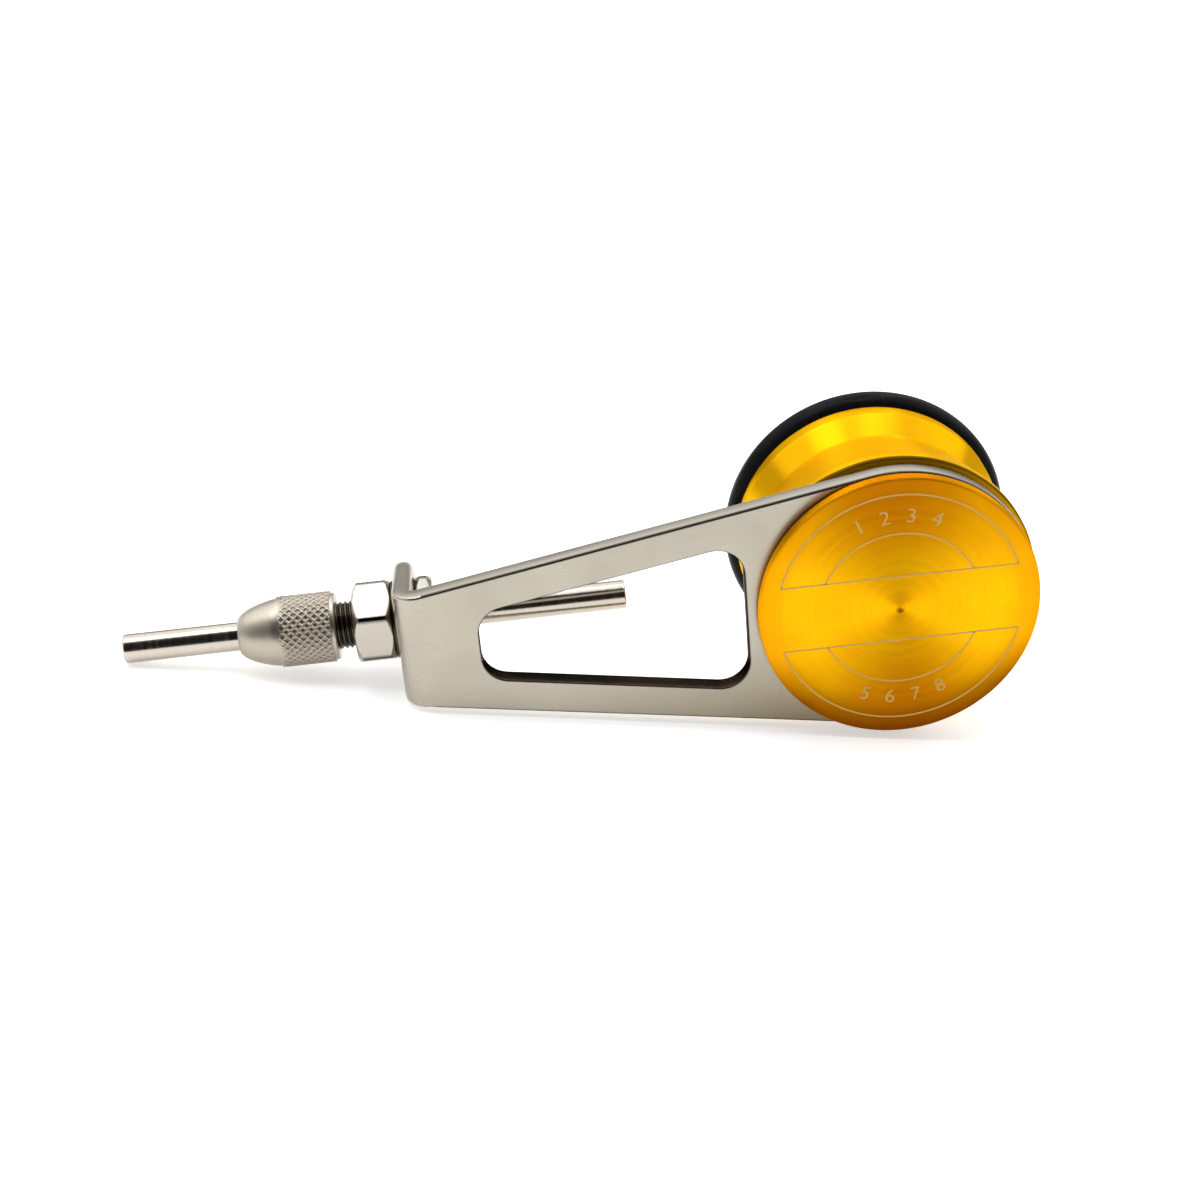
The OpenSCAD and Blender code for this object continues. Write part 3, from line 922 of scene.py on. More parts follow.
class GeometryBench(Bench):
    """A geometry node tree under construction, with named inputs."""

    def __init__(self, name: str, sizes: tuple[str, ...]) -> None:
        """Start a tree.

        Args:
            name: the tree's name.
            sizes: the names of its number inputs.
        """
        tree = bpy.data.node_groups.new(name, "GeometryNodeTree")
        super().__init__(tree)
        tree.interface.new_socket(name="Geometry", in_out="INPUT", socket_type="NodeSocketGeometry")
        for size in sizes:
            tree.interface.new_socket(name=size, in_out="INPUT", socket_type="NodeSocketFloat")
        tree.interface.new_socket(name="Geometry", in_out="OUTPUT", socket_type="NodeSocketGeometry")
        self.inputs = self.node("NodeGroupInput").outputs

    def end(self, geometry: Socket, material: Material) -> None:
        """Close the tree with real geometry in one material.

        Args:
            geometry: what the tree has made.
            material: the finish that it gets.
        """
        real = self.node("GeometryNodeRealizeInstances", {"Geometry": geometry})
        dressed = self.node("GeometryNodeSetMaterial", {"Geometry": real.outputs["Geometry"], "Material": material})
        self.node("NodeGroupOutput", {"Geometry": dressed.outputs["Geometry"]})

    def run(self, mesh: Mesh, sizes: dict[str, float]) -> Mesh:
        """Run the tree on a mesh.

        Args:
            mesh: the mesh that goes in.
            sizes: the values of the tree's inputs.

        Returns:
            The plain mesh that comes out.
        """
        thing = put_in_scene(mesh.name, mesh)
        modifier = thing.modifiers.new(self.tree.name, "NODES")
        modifier.node_group = self.tree
        for item in self.tree.interface.items_tree:
            if item.in_out == "INPUT" and item.name in sizes:
                modifier[item.identifier] = float(sizes[item.name])
        return made_real(thing)


class ReliefBench(GeometryBench):
    """A tree that sinks a relief into a band of a turned surface, towards the lathe's axis."""

    def __init__(self, name: str, *sizes: str) -> None:
        """Start a tree with the band's inputs and each point's place round the axis.

        Args:
            name: the tree's name.
            sizes: the names of the relief's own number inputs.
        """
        super().__init__(name, ("From", "To", "Outside", "Depth", *sizes))
        self.x, self.y, self.along = self.axes(self.node("GeometryNodeInputPosition").outputs["Position"])
        self.radius = self.length(self.x, self.y)
        self.turn = self.math("DIVIDE", self.math("ARCTAN2", self.y, self.x), FULL_TURN)

    def sink(self, height: Socket, material: Material) -> None:
        """Sink the band and close the tree.

        Args:
            height: 1 where the surface stays, 0 where it is sunk by the whole depth.
            material: the finish.
        """
        inside = self.product(self.math("GREATER_THAN", self.along, self.inputs["From"]),
                              self.math("LESS_THAN", self.along, self.inputs["To"]),
                              self.math("GREATER_THAN", self.radius, self.inputs["Outside"]))
        sunk = self.product(self.math("SUBTRACT", 1.0, height), self.inputs["Depth"], inside)
        share = self.math("DIVIDE", sunk, self.radius)
        offset = self.node("ShaderNodeCombineXYZ", {"X": self.product(self.x, share, -1.0),
                                                    "Y": self.product(self.y, share, -1.0)})
        moved = self.node("GeometryNodeSetPosition", {"Geometry": self.inputs["Geometry"],
                                                      "Offset": offset.outputs["Vector"]})
        self.end(moved.outputs["Geometry"], material)


def knurl_bench(material: Material) -> ReliefBench:
    """Make the tree that rolls a diamond knurl into a band: two crossed sets of thin ridges.

    Args:
        material: the finish.

    Returns:
        The tree.
    """
    bench = ReliefBench("diamond_knurl", "Starts", "Lead", "Ridge Share", "Fade")
    climbed = bench.math("DIVIDE", bench.along, bench.inputs["Lead"])
    ridges = []
    for way in ("ADD", "SUBTRACT"):
        phase = bench.math("FRACT", bench.math(way, bench.product(bench.turn, bench.inputs["Starts"]), climbed))
        away = bench.math("ABSOLUTE", bench.math("SUBTRACT", phase, 0.5))
        slope = bench.math("DIVIDE", away, bench.inputs["Ridge Share"])
        ridges.append(bench.math("MAXIMUM", bench.math("SUBTRACT", 1.0, slope), 0.0))
    left = bench.math("DIVIDE", bench.math("SUBTRACT", bench.inputs["To"], bench.along), bench.inputs["Fade"])
    faded = bench.math("SUBTRACT", 1.0, bench.math("MINIMUM", left, 1.0))
    bench.sink(bench.math("MAXIMUM", bench.math("MAXIMUM", *ridges), faded), material)
    return bench


def thread_bench(material: Material) -> ReliefBench:
    """Make the tree that cuts a right-hand thread into a band.

    Args:
        material: the finish.

    Returns:
        The tree.
    """
    bench = ReliefBench("stud_thread", "Pitch", "Flat Share")
    climbed = bench.math("SUBTRACT", bench.math("DIVIDE", bench.along, bench.inputs["Pitch"]), bench.turn)
    # The whole turns that are added here only keep the phase above zero.
    phase = bench.math("FRACT", bench.math("ADD", climbed, 10.0))
    away = bench.product(bench.math("ABSOLUTE", bench.math("SUBTRACT", phase, 0.5)), 2.0)
    flank = bench.math("ADD", bench.math("SUBTRACT", 1.0, away), bench.inputs["Flat Share"])
    bench.sink(bench.math("MINIMUM", flank, 1.0), material)
    return bench


@dataclass
class SideArm:
    """The bent steel strip with its window, its eye and its tab.

    Args:
        frame: the maker's frame.
        length: from the spool's axis to the tab's outer face.
        strip: the strip's thickness.
        end_r: the radius of the round end.
        tab_r: the radius of the tab's end.
        inner_bend_r: the inner radius of the bend.
        window: the window's front and rear places, as distances from the spool's axis.
        band: the width of the strips beside the window.
        window_corner_r: the window's corner radius.
        eye_r: the radius of the eye for the bush.
        stud_r: the radius of the hole for the stud.
        edge_r: the roundness of the tumbled edges.
        window_edge_r: the roundness of the edges of the window and the holes.
        tab_edge_r: the roundness of the tab's edges.
        bend_steps: flats in the bend.
        edge_steps: flats in a rounded edge.
        end_steps: flats in the round end, and in the tab's.
        hole_steps: flats round a hole.
        corner_steps: flats in a corner of the window.
    """

    frame: MakerFrame
    length: float = 50.0
    strip: float = 2.0
    end_r: float = 14.1
    tab_r: float = 5.8
    inner_bend_r: float = 0.5
    window: Point = (41.8, 15.1)
    band: float = 3.5
    window_corner_r: float = 2.8
    eye_r: float = 6.01
    stud_r: float = 2.46
    edge_r: float = 0.28
    window_edge_r: float = 0.2
    tab_edge_r: float = 0.85
    bend_steps: int = 12
    edge_steps: int = 5
    end_steps: tuple[int, int] = (120, 48)
    hole_steps: int = 64
    corner_steps: int = 10

    @property
    def bend_x(self) -> float:
        """How far from the spool's axis the bend starts."""
        return self.length - self.inner_bend_r - self.strip

    @property
    def bend_l(self) -> float:
        """The length of the strip's middle layer in the bend."""
        return (self.inner_bend_r + self.strip / 2) * QUARTER

    @property
    def slope(self) -> float:
        """How much the strip widens for each millimetre towards the spool."""
        corner = math.hypot(self.length, self.tab_r)
        return math.tan(math.asin(self.end_r / corner) - math.atan(self.tab_r / self.length))

    @property
    def bend_r(self) -> float:
        """The outer radius of the bend."""
        return self.inner_bend_r + self.strip

    @property
    def stud_x(self) -> float:
        """How far the stud's axis lies from the spool's axis in the flat blank."""
        return self.bend_x + self.bend_l + self.frame.tube_y - self.bend_r

    def half_width(self, away: float) -> float:
        """Give half the strip's width at a distance from the spool's axis."""
        return self.tab_r + (self.length - away) * self.slope

    def blank(self) -> list[Point]:
        """Outline the flat blank: the round end, the tapered sides and the tab's round end.

        Returns:
            The outline's points.
        """
        lean = math.atan(self.slope)
        half = self.half_width(self.bend_x)
        run = self.bend_x - self.stud_x
        tab_lean = math.asin((half - self.tab_r) / math.hypot(run, half))
        eye_steps, tab_steps = self.end_steps
        eye_end = arc(self.end_r, evenly(-QUARTER - lean, QUARTER + lean, eye_steps))
        tab_end = arc(self.tab_r, evenly(QUARTER + tab_lean, 3 * QUARTER - tab_lean, tab_steps), -self.stud_x)
        return eye_end + [(-self.bend_x, half)] + tab_end + [(-self.bend_x, -half)]

    def window_outline(self) -> list[Point]:
        """Outline the window.

        Returns:
            The outline's points.
        """
        front, rear = self.window
        less = self.band / math.cos(math.atan(self.slope))
        high_front, high_rear = self.half_width(front) - less, self.half_width(rear) - less
        r = self.window_corner_r
        corners = [(-front, -high_front, r), (-rear, -high_rear, r), (-rear, high_rear, r), (-front, high_front, r)]
        return rounded(corners, closed=True, steps=self.corner_steps)

    def edge_radius(self, x: float) -> float:
        """Give the roundness of the outer edge at a place of the blank; it grows over the bend."""
        past = min(max((-self.bend_x - x) / (2 * self.bend_l), 0.0), 1.0)
        return self.edge_r + (self.tab_edge_r - self.edge_r) * past

    def wall(self, body: Builder, loop: list[Point], inward: float) -> tuple[Edges, Edges]:
        """Build the rounded edge of one outline.

        Args:
            body: the mesh under construction.
            loop: the outline, anticlockwise.
            inward: 1 where the metal lies inside the outline, -1 for a hole.

        Returns:
            The edges of the front and the back border.
        """
        points = [Vector(p) for p in loop]
        runs = [after - before for before, after in zip(points[-1:] + points[:-1], points[1:] + points[:1])]
        normals = [Vector((-run.y, run.x)).normalized() * inward for run in runs]
        rows = [(1 - math.sin(a), 1 - math.cos(a), 0.0) for a in evenly(0, QUARTER, self.edge_steps)]
        rows += [(inset, -depth, self.strip) for inset, depth, _ in reversed(rows)]
        radii = [self.edge_radius(p.x) if inward > 0 else self.window_edge_r for p in points]
        rings = [[body.verts.new((p.x + n.x * inset * r, start + depth * r, p.y + n.y * inset * r))
                  for p, n, r in zip(points, normals, radii)] for inset, depth, start in rows]
        cover(body, rings)
        front, back = ([body.edges.get(pair) for pair in zip(ring, ring[1:] + ring[:1])]
                       for ring in (rings[0], rings[-1]))
        return front, back

    def bent(self, place: Vector) -> Vector:
        """Move a point of the flat blank to its place in the bent strip.

        Args:
            place: the point, with the strip's thickness along Y.

        Returns:
            The bent point.
        """
        past = -self.bend_x - place.x
        if past <= 0:
            return place
        turned_by = min(past / self.bend_l, 1.0) * QUARTER
        radius = self.bend_r - place.y
        x = -self.bend_x - radius * math.sin(turned_by)
        y = self.bend_r - radius * math.cos(turned_by)
        return Vector((x, y + max(past - self.bend_l, 0.0), place.z))

    def mesh(self) -> Mesh:
        """Cut, round and bend the strip.

        Returns:
            The arm's mesh.
        """
        body = bmesh.new()
        layer = body.faces.layers.int.new("flat_side")
        loops = [(self.blank(), 1.0), (self.window_outline(), -1.0), (circle(self.eye_r, self.hole_steps), -1.0),
                 (circle(self.stud_r, self.hole_steps, -self.stud_x), -1.0)]
        for border in zip(*(self.wall(body, loop, inward) for loop, inward in loops)):
            filled = bmesh.ops.triangle_fill(body, use_beauty=True, use_dissolve=False, edges=sum(border, []))
            for face in filled["geom"]:
                if isinstance(face, bmesh.types.BMFace):
                    face[layer] = 1
        for cut in evenly(0, self.bend_l, self.bend_steps):
            bmesh.ops.bisect_plane(body, geom=body.verts[:] + body.edges[:] + body.faces[:], dist=ON_CUT,
                                   plane_co=(-self.bend_x - cut, 0, 0), plane_no=(1, 0, 0))
        for vert in body.verts:
            vert.co = self.bent(vert.co)
        bmesh.ops.recalc_face_normals(body, faces=body.faces)
        for edge in body.edges:
            edge.smooth = len({face[layer] for face in edge.link_faces}) == 1
        for face in body.faces:
            face.smooth = True
        return written("side_arm_strip", body, self.frame.to_row)

    def build(self) -> list[Piece]:
        """Give the arm's one piece."""
        return [Piece("side_arm_strip", self.mesh(), "frame", "arm_steel", ARM_STEEL.make(self.frame.to_row),
                      "side_arm")]


@dataclass
class DragKnob:
    """The gold knob with its turned face and a plain dial marked on it.

    Args:
        frame: the maker's frame.
        radius: the knob's radius.
        face: where its face lies along the spool's axis.
        back: where the disc's back lies.
        edge_r: the roundness of its front edge.
        back_edge_r: the roundness of its back edge.
        centre_r: the radius of the centre mark.
        centre_edge_r: the roundness of that mark's edge.
        hub: the hub's radius and its end along the axis.
        hub_edge_r: the roundness at the hub's root, and at its end.
        bore: the thread hole's radius and its floor along the axis.
        counterbore: the wider hole's radius and its floor.
        dial: the radii of the dial's inner and outer arc.
        band: half the height of the bare band across the middle.
        line: the width of a marked line.
        mark_t: how far the marks stand on the face.
        digit_h: the height of the numbers.
        digit_in: how far they stand inside the middle between the two arcs.
        digit_step: the angle from one to the next, in degrees.
        digits_in_row: how many of them stand above the bare band, and below it.
        arc_steps: pieces in one of the dial's arcs.
        straight_steps: pieces in one of its straight lines.
    """

    frame: MakerFrame
    radius: float = 14.1
    face: float = -1.5
    back: float = -0.3
    edge_r: float = 0.28
    back_edge_r: float = 0.12
    centre_r: float = 0.5
    centre_edge_r: float = 0.05
    hub: Point = (4.3, 1.75)
    hub_edge_r: Point = (0.1, 0.15)
    bore: Point = (1.51, -1.15)
    counterbore: Point = (2.2, 0.75)
    dial: Point = (8.2, 12.35)
    band: float = 3.55
    line: float = 0.17
    mark_t: float = 0.012
    digit_h: float = 1.5
    digit_in: float = 0.25
    digit_step: float = 15.0
    digits_in_row: int = 4
    arc_steps: int = 72
    straight_steps: int = 8

    def mesh(self) -> Mesh:
        """Turn the knob.

        Returns:
            The knob's mesh.
        """
        (hub_r, hub_end), (bore_r, floor), (wide_r, step) = self.hub, self.bore, self.counterbore
        root, rim = self.hub_edge_r
        outline = rounded([
            (0, self.face + self.centre_r, 0), (self.centre_r, self.face, self.centre_edge_r),
            (self.radius, self.face, self.edge_r), (self.radius, self.back, self.back_edge_r),
            (hub_r, self.back, root), (hub_r, hub_end, rim), (wide_r, hub_end, 0), (wide_r, step, 0),
            (bore_r, step, 0), (bore_r, floor, 0), (0, floor, 0)], closed=False)
        return turned("drag_knob", outline, False, self.frame.lathe(LatheAxis.SPOOL), WIDE_ROUND)

    def ribbon(self, body: Builder, path: list[Point]) -> None:
        """Lay one marked line on the face, as a low closed strip.

        Args:
            body: the mesh under construction.
            path: the line's points on the face, X and Z.
        """
        rows = []
        for place, (x, z) in enumerate(path):
            ahead = Vector(path[min(place + 1, len(path) - 1)])
            behind = Vector(path[max(place - 1, 0)])
            side = (ahead - behind).orthogonal().normalized() * self.line / 2
            rows.append([body.verts.new((x + side.x * a, y, z + side.y * a))
                         for a, y in ((-1, self.face), (-1, self.face - self.mark_t),
                                      (1, self.face - self.mark_t), (1, self.face))])
        cover(body, rows)
        body.faces.new(rows[0])
        body.faces.new(rows[-1])

    def dial_arc(self, radius: float) -> list[Point]:
        """Give the dial's upper arc of a radius, which ends at the bare band."""
        start = math.asin(self.band / radius)
        return arc(radius, evenly(start, math.pi - start, self.arc_steps))

    def marks(self) -> Mesh:
        """Mark the dial's arcs and the two straight lines.

        Returns:
            The marks' mesh.
        """
        body = bmesh.new()
        inner, outer = self.dial
        reach = math.sqrt(outer ** 2 - self.band ** 2)
        straight = [(x, self.band) for x in evenly(-reach, reach, self.straight_steps)]
        for top in (1, -1):
            for line in (self.dial_arc(inner), self.dial_arc(outer), straight):
                self.ribbon(body, [(x, top * z) for x, z in line])
        return finished("dial_lines", body, self.frame.to_row)

    def number(self, digit: int, angle: float) -> Mesh:
        """Mark one number.

        Args:
            digit: the number.
            angle: its place round the dial, from the top, clockwise for who looks at the knob.

        Returns:
            The number's mesh.
        """
        curve = bpy.data.curves.new(f"dial_number_{digit}", "FONT")
        curve.body = str(digit)
        curve.size = self.digit_h / FIGURE_SHARE
        curve.align_x = "CENTER"
        curve.align_y = "CENTER"
        curve.extrude = self.mark_t / 2
        mesh = made_real(put_in_scene(curve.name, curve))
        radius = sum(self.dial) / 2 - self.digit_in
        stand = Matrix.Rotation(QUARTER, 4, "X")
        lean = 0.0 if math.cos(angle) > 0 else math.pi
        spin = Matrix.Rotation(angle + lean, 4, "Y")
        place = Vector((radius * math.sin(angle), self.face - self.mark_t / 2, radius * math.cos(angle)))
        mesh.transform(self.frame.to_row @ Matrix.Translation(place) @ spin @ stand)
        return mesh

    def build(self) -> list[Piece]:
        """Give the knob and its marks.

        Returns:
            The pieces.
        """
        gold = GOLD_KNOB.make(self.frame.lathe(LatheAxis.SPOOL))
        mark = LASER_MARK.make(self.frame.to_row)
        pieces = [Piece("drag_knob", self.mesh(), "drag_knob", "knob_gold", gold, "knob"),
                  Piece("dial_lines", self.marks(), "drag_knob", "knob_gold", mark)]
        for digit in range(1, 2 * self.digits_in_row + 1):
            below, place = divmod(digit - 1, self.digits_in_row)
            aside = (place - (self.digits_in_row - 1) / 2) * math.radians(self.digit_step)
            mesh = self.number(digit, math.pi - aside if below else aside)
            pieces.append(Piece(f"dial_number_{digit}", mesh, "drag_knob", "knob_gold", mark))
        return pieces


@dataclass
class LineSpool:
    """The gold spool and its rubber ring.

    Args:
        frame: the maker's frame.
        near: the spool's near face along its axis.
        flange_r: the radius of the near flange.
        land: the width of that flange's edge.
        valley: the radius and the place of the bottom of the groove for the line.
        valley_w: the width of that bottom.
        lip: the radius of the far lips and where they start.
        far: the spool's far face.
        ring: the ring's centre radius and place.
        ring_section_r: the radius of the rubber's section.
        near_recess: the radius and floor of the hollow for the brake.
        far_recess: the radius and floor of the hollow for the axle's head.
        bore_r: the radius of the bore for the bushings.
        edge_r: the roundness of its edges.
        recess_edge_r: the roundness in and round the hollow for the brake, and in the other.
        far_edge_r: the roundness round the hollow for the axle's head.
        valley_edge_r: the roundness at the bottom of the groove for the line.
        groove_steps: flats in the groove for the ring.
        ring_steps: flats round the rubber's section.
    """

    frame: MakerFrame
    near: float = 2.45
    flange_r: float = 14.55
    land: float = 1.15
    valley: Point = (12.6, 12.6)
    valley_w: float = 0.5
    lip: Point = (14.0, 15.5)
    far: float = 21.4
    ring: Point = (13.25, 18.65)
    ring_section_r: float = 1.75
    near_recess: Point = (8.4, 3.53)
    far_recess: Point = (5.6, 17.47)
    bore_r: float = 4.05
    edge_r: float = 0.22
    recess_edge_r: float = 0.1
    far_edge_r: float = 0.15
    valley_edge_r: float = 0.3
    groove_steps: int = 24
    ring_steps: int = 48

    def groove(self) -> list[Corner]:
        """Give the groove that the ring sits in, from near to far.

        Returns:
            The outline's corners there.
        """
        radius, middle = self.ring
        section = self.ring_section_r + CLEAR
        half = math.acos((self.lip[0] - radius) / section)
        angles = evenly(-half, -FULL_TURN + half, self.groove_steps)
        return [(*point, 0) for point in arc(section, angles, radius, middle)]

    def mesh(self) -> Mesh:
        """Turn the spool.

        Returns:
            The spool's mesh.
        """
        e, inner, bottom = self.edge_r, self.recess_edge_r, self.valley_edge_r
        (near_r, near_floor), (far_r, far_floor) = self.near_recess, self.far_recess
        (valley_r, valley), (lip_r, lip) = self.valley, self.lip
        outline = rounded([
            (self.bore_r, near_floor, 0), (near_r, near_floor, inner), (near_r, self.near, inner),
            (self.flange_r, self.near, e), (self.flange_r, self.near + self.land, e),
            (valley_r, valley - self.valley_w / 2, bottom), (valley_r, valley + self.valley_w / 2, bottom),
            (lip_r, lip, e), *self.groove(), (lip_r, self.far, e), (far_r, self.far, self.far_edge_r),
            (far_r, far_floor, inner), (self.bore_r, far_floor, 0)], closed=True)
        return turned("gold_spool", outline, True, self.frame.lathe(LatheAxis.SPOOL), WIDE_ROUND)

    def ring_mesh(self) -> Mesh:
        """Turn the rubber ring."""
        outline = circle(self.ring_section_r, self.ring_steps, *self.ring)
        return turned("rubber_ring", outline, True, self.frame.lathe(LatheAxis.SPOOL), WIDE_ROUND)

    def build(self) -> list[Piece]:
        """Give the spool and its ring.

        Returns:
            The pieces.
        """
        lathe = self.frame.lathe(LatheAxis.SPOOL)
        return [
            Piece("gold_spool", self.mesh(), "line_spool", "spool_gold", GOLD_SPOOL.make(lathe), "spool"),
            Piece("rubber_ring", self.ring_mesh(), "line_spool", "black_rubber", RUBBER.make(self.frame.to_row),
                  "line_ring"),
        ]


@dataclass
class TubeEnd:
    """The guide tube, its stud, its nuts and the knurled clamp nut.

    Args:
        frame: the maker's frame.
        tube: the tube's outer radius and its bore's radius.
        tube_ends: the tube's rear and front end, as distances from the spool's axis.
        tube_edge: the roundness of the tube's ends.
        stud_r: the radius of the stud's thread.
        stud_bore_r: the radius of the stud's bore.
        stud_ends: the stud's rear and front end.
        pitch: the thread's pitch.
        thread_t: the thread's depth.
        flats: the width of the nuts across their flats.
        outer_nut: the outer nut's two ends.
        inner_nut: the inner nut's two ends.
        nut_edge: how far the nuts' end chamfers reach along a corner.
        nut_face_less: how much smaller the round end faces of the nuts are than their flats.
        nut_round: the roundness at the rims of those faces, and where the chamfers end.
        nut_corner: the roundness of the nuts' six corners.
        nut_sharp: the least angle of a sharp edge of the nuts, in degrees.
        clamp: the clamp nut's rear end, the knurl's two ends and the nose's base and tip.
        clamp_r: the radius of the plain body and over the knurl.
        clamp_edge: the roundness of its rear edge.
        nose_r: the nose's radius at its tip and its hole's radius.
        seat: where the collet's seat starts and ends.
        knurl_t: the knurl's depth.
        fade: over what length the knurl runs out towards the nose.
        starts: the ridges of the knurl round the nut, one way.
        lead: how far along the nut one ridge lies from the next.
        ridge_share: half the width of a ridge, as a share of that.
        crest_share: the width of the thread's flat crests, as a share of its depth's slope.
        nose_arc: the part of a circle that the nose's outline follows, in degrees.
    """

    frame: MakerFrame
    tube: Point = (1.5, 1.0)
    tube_ends: Point = (26.65, 78.15)
    tube_edge: float = 0.28
    stud_r: float = 2.45
    stud_bore_r: float = 1.54
    stud_ends: Point = (45.8, 59.65)
    pitch: float = 0.5
    thread_t: float = 0.26
    flats: float = 8.0
    outer_nut: Point = (50.4, 54.45)
    inner_nut: Point = (46.2, 48.0)
    nut_edge: float = 0.7
    nut_face_less: float = 0.2
    nut_round: Point = (0.15, 0.1)
    nut_corner: float = 0.55
    nut_sharp: float = 40.0
    clamp: tuple[float, float, float, float, float] = (56.3, 56.72, 62.22, 62.64, 66.34)
    clamp_r: Point = (3.45, 3.65)
    clamp_edge: float = 0.2
    nose_r: Point = (1.85, 1.64)
    seat: Point = (61.78, 65.44)
    knurl_t: float = 0.13
    fade: float = 0.9
    starts: int = 28
    lead: float = 0.85
    ridge_share: float = 0.22
    crest_share: float = 0.12
    nose_arc: Point = (35.0, 80.0)

    @property
    def lathe(self) -> Matrix:
        """The matrix from the tube's lathe to the row."""
        return self.frame.lathe(LatheAxis.TUBE)

    def tube_mesh(self) -> Mesh:
        """Turn the guide tube.

        Returns:
            The tube's mesh.
        """
        outer, bore = self.tube
        rear, front = self.tube_ends
        e = self.tube_edge
        outline = rounded([(bore, rear, 0), (outer, rear, e), (outer, front, e), (bore, front, 0)], closed=True)
        return turned("guide_tube_polished", outline, True, self.lathe, SLIM_ROUND)

    def stud_mesh(self, material: Material) -> Mesh:
        """Turn the stud and cut its thread.

        Args:
            material: the stud's finish.

        Returns:
            The stud's mesh.
        """
        rear, front = self.stud_ends
        rows_in_turn, run_out = 12, 0.02
        rows = evenly(rear, front, round((front - rear) / self.pitch * rows_in_turn))
        outline = [(self.stud_bore_r, rear)] + [(self.stud_r, z) for z in rows] + [(self.stud_bore_r, front)]
        plain = turned("threaded_stud_cut", outline, True, Matrix.Identity(4), SLIM_ROUND)
        sizes = {"From": rear + run_out, "To": front - run_out, "Outside": (self.stud_bore_r + self.stud_r) / 2,
                 "Depth": self.thread_t, "Pitch": self.pitch, "Flat Share": self.crest_share}
        mesh = thread_bench(material).run(plain, sizes)
        mesh.transform(self.lathe)
        return mesh

    def nut_mesh(self, name: str, ends: Point) -> Mesh:
        """Shape a hex nut with softened edges and chamfered ends.

        Args:
            name: the mesh's name.
            ends: the nut's two ends.

        Returns:
            The nut's mesh.
        """
        near, far = ends
        flat_r = self.flats / 2
        corner_r = self.flats / math.sqrt(3)
        corners = [(*point, self.nut_corner) for point in circle(corner_r, 6)]
        hexagon = rounded(corners, closed=True, hold=0.03)
        flat_cuts, least_flat, chamfer_rows, slight = 14, 1.0, 10, 0.05
        dense: list[Vector] = []
        for point, following in zip(hexagon, hexagon[1:] + hexagon[:1]):
            here, after = Vector(point), Vector(following)
            cuts = flat_cuts if (after - here).length > least_flat else 1
            dense += [here.lerp(after, cut / cuts) for cut in range(cuts)]
        hole_r = self.stud_r + CLEAR
        face_r = flat_r - self.nut_face_less
        rim, end = self.nut_round
        profile = rounded([
            (hole_r, near, 0), (face_r, near, rim), (corner_r, near + self.nut_edge, end),
            (corner_r, far - self.nut_edge, end), (face_r, far, rim), (hole_r, far, 0)], closed=False)
        rows: list[Point] = []
        for here, after in zip(profile, profile[1:]):
            out, on = after[0] - here[0], after[1] - here[1]
            slanted = abs(out) > slight and abs(on) > slight
            rows += [(here[0] + out * share, here[1] + on * share)
                     for share in (evenly(0, 1, chamfer_rows)[:-1] if slanted else [0.0])]
        rows.append(profile[-1])
        rings = [[Vector((*(p.normalized() * min(radius, p.length)), along)) for p in dense]
                 for radius, along in rows]
        return skin(name, rings, True, self.lathe, self.nut_sharp)

    def clamp_mesh(self, material: Material) -> Mesh:
        """Turn the clamp nut and roll its knurl.

        Args:
            material: the nut's finish.

        Returns:
            The nut's mesh.
        """
        rear, knurl_rear, knurl_front, base, tip = self.clamp
        body_r, knurl_r = self.clamp_r
        tip_r, hole_r = self.nose_r
        nose_rows, knurl_rows, points_in_ridge, edge = 24, 90, 12, 0.03
        start, end = (math.radians(a) for a in self.nose_arc)
        nose = []
        for turned_by in evenly(start, end, nose_rows):
            along = (math.sin(turned_by) - math.sin(start)) / (math.sin(end) - math.sin(start))
            down = (math.cos(start) - math.cos(turned_by)) / (math.cos(start) - math.cos(end))
            nose.append((body_r - down * (body_r - tip_r), base + along * (tip - base)))
        thread_r = self.stud_r + CLEAR
        outline = rounded([(thread_r, rear, 0), (body_r, rear, self.clamp_edge), (body_r, knurl_rear, 0)],
                          closed=False)
        outline += [(knurl_r, z) for z in evenly(knurl_rear + edge, knurl_front - edge, knurl_rows)]
        outline += [(body_r, knurl_front), *nose, (hole_r, tip), (hole_r, self.seat[1]), (thread_r, self.seat[0])]
        plain = turned("clamp_nut_knurled", outline, True, Matrix.Identity(4), self.starts * points_in_ridge)
        sizes = {"From": knurl_rear, "To": knurl_front, "Outside": (body_r + knurl_r) / 2, "Depth": self.knurl_t,
                 "Starts": self.starts, "Lead": self.lead, "Ridge Share": self.ridge_share, "Fade": self.fade}
        mesh = knurl_bench(material).run(plain, sizes)
        mesh.transform(self.lathe)
        return mesh

    def build(self) -> list[Piece]:
        """Give the tube and all that holds it.

        Returns:
            The pieces.
        """
        tube, thread, knurled, nut, inner_nut = (
            finish.make(self.lathe) for finish in (TUBE_STEEL, SHADED_THREAD_STEEL, NOSE_STEEL, NUT_STEEL, SHADED_INNER_NUT_STEEL))
        return [
            Piece("guide_tube_polished", self.tube_mesh(), "line_tube", "tube_steel", tube, "guide_tube"),
            Piece("threaded_stud_cut", self.stud_mesh(thread), "frame", "thread_steel", thread, "threaded_stud"),
            Piece("outer_nut_bright", self.nut_mesh("outer_nut_bright", self.outer_nut), "frame", "nut_steel", nut,
                  "outer_hex_nut"),
            Piece("inner_nut_bright", self.nut_mesh("inner_nut_bright", self.inner_nut), "frame", "nut_steel",
                  inner_nut, "inner_hex_nut"),
            Piece("clamp_nut_knurled", self.clamp_mesh(knurled), "clamp_nut", "knurl_steel", knurled, "collet_nut"),
        ]


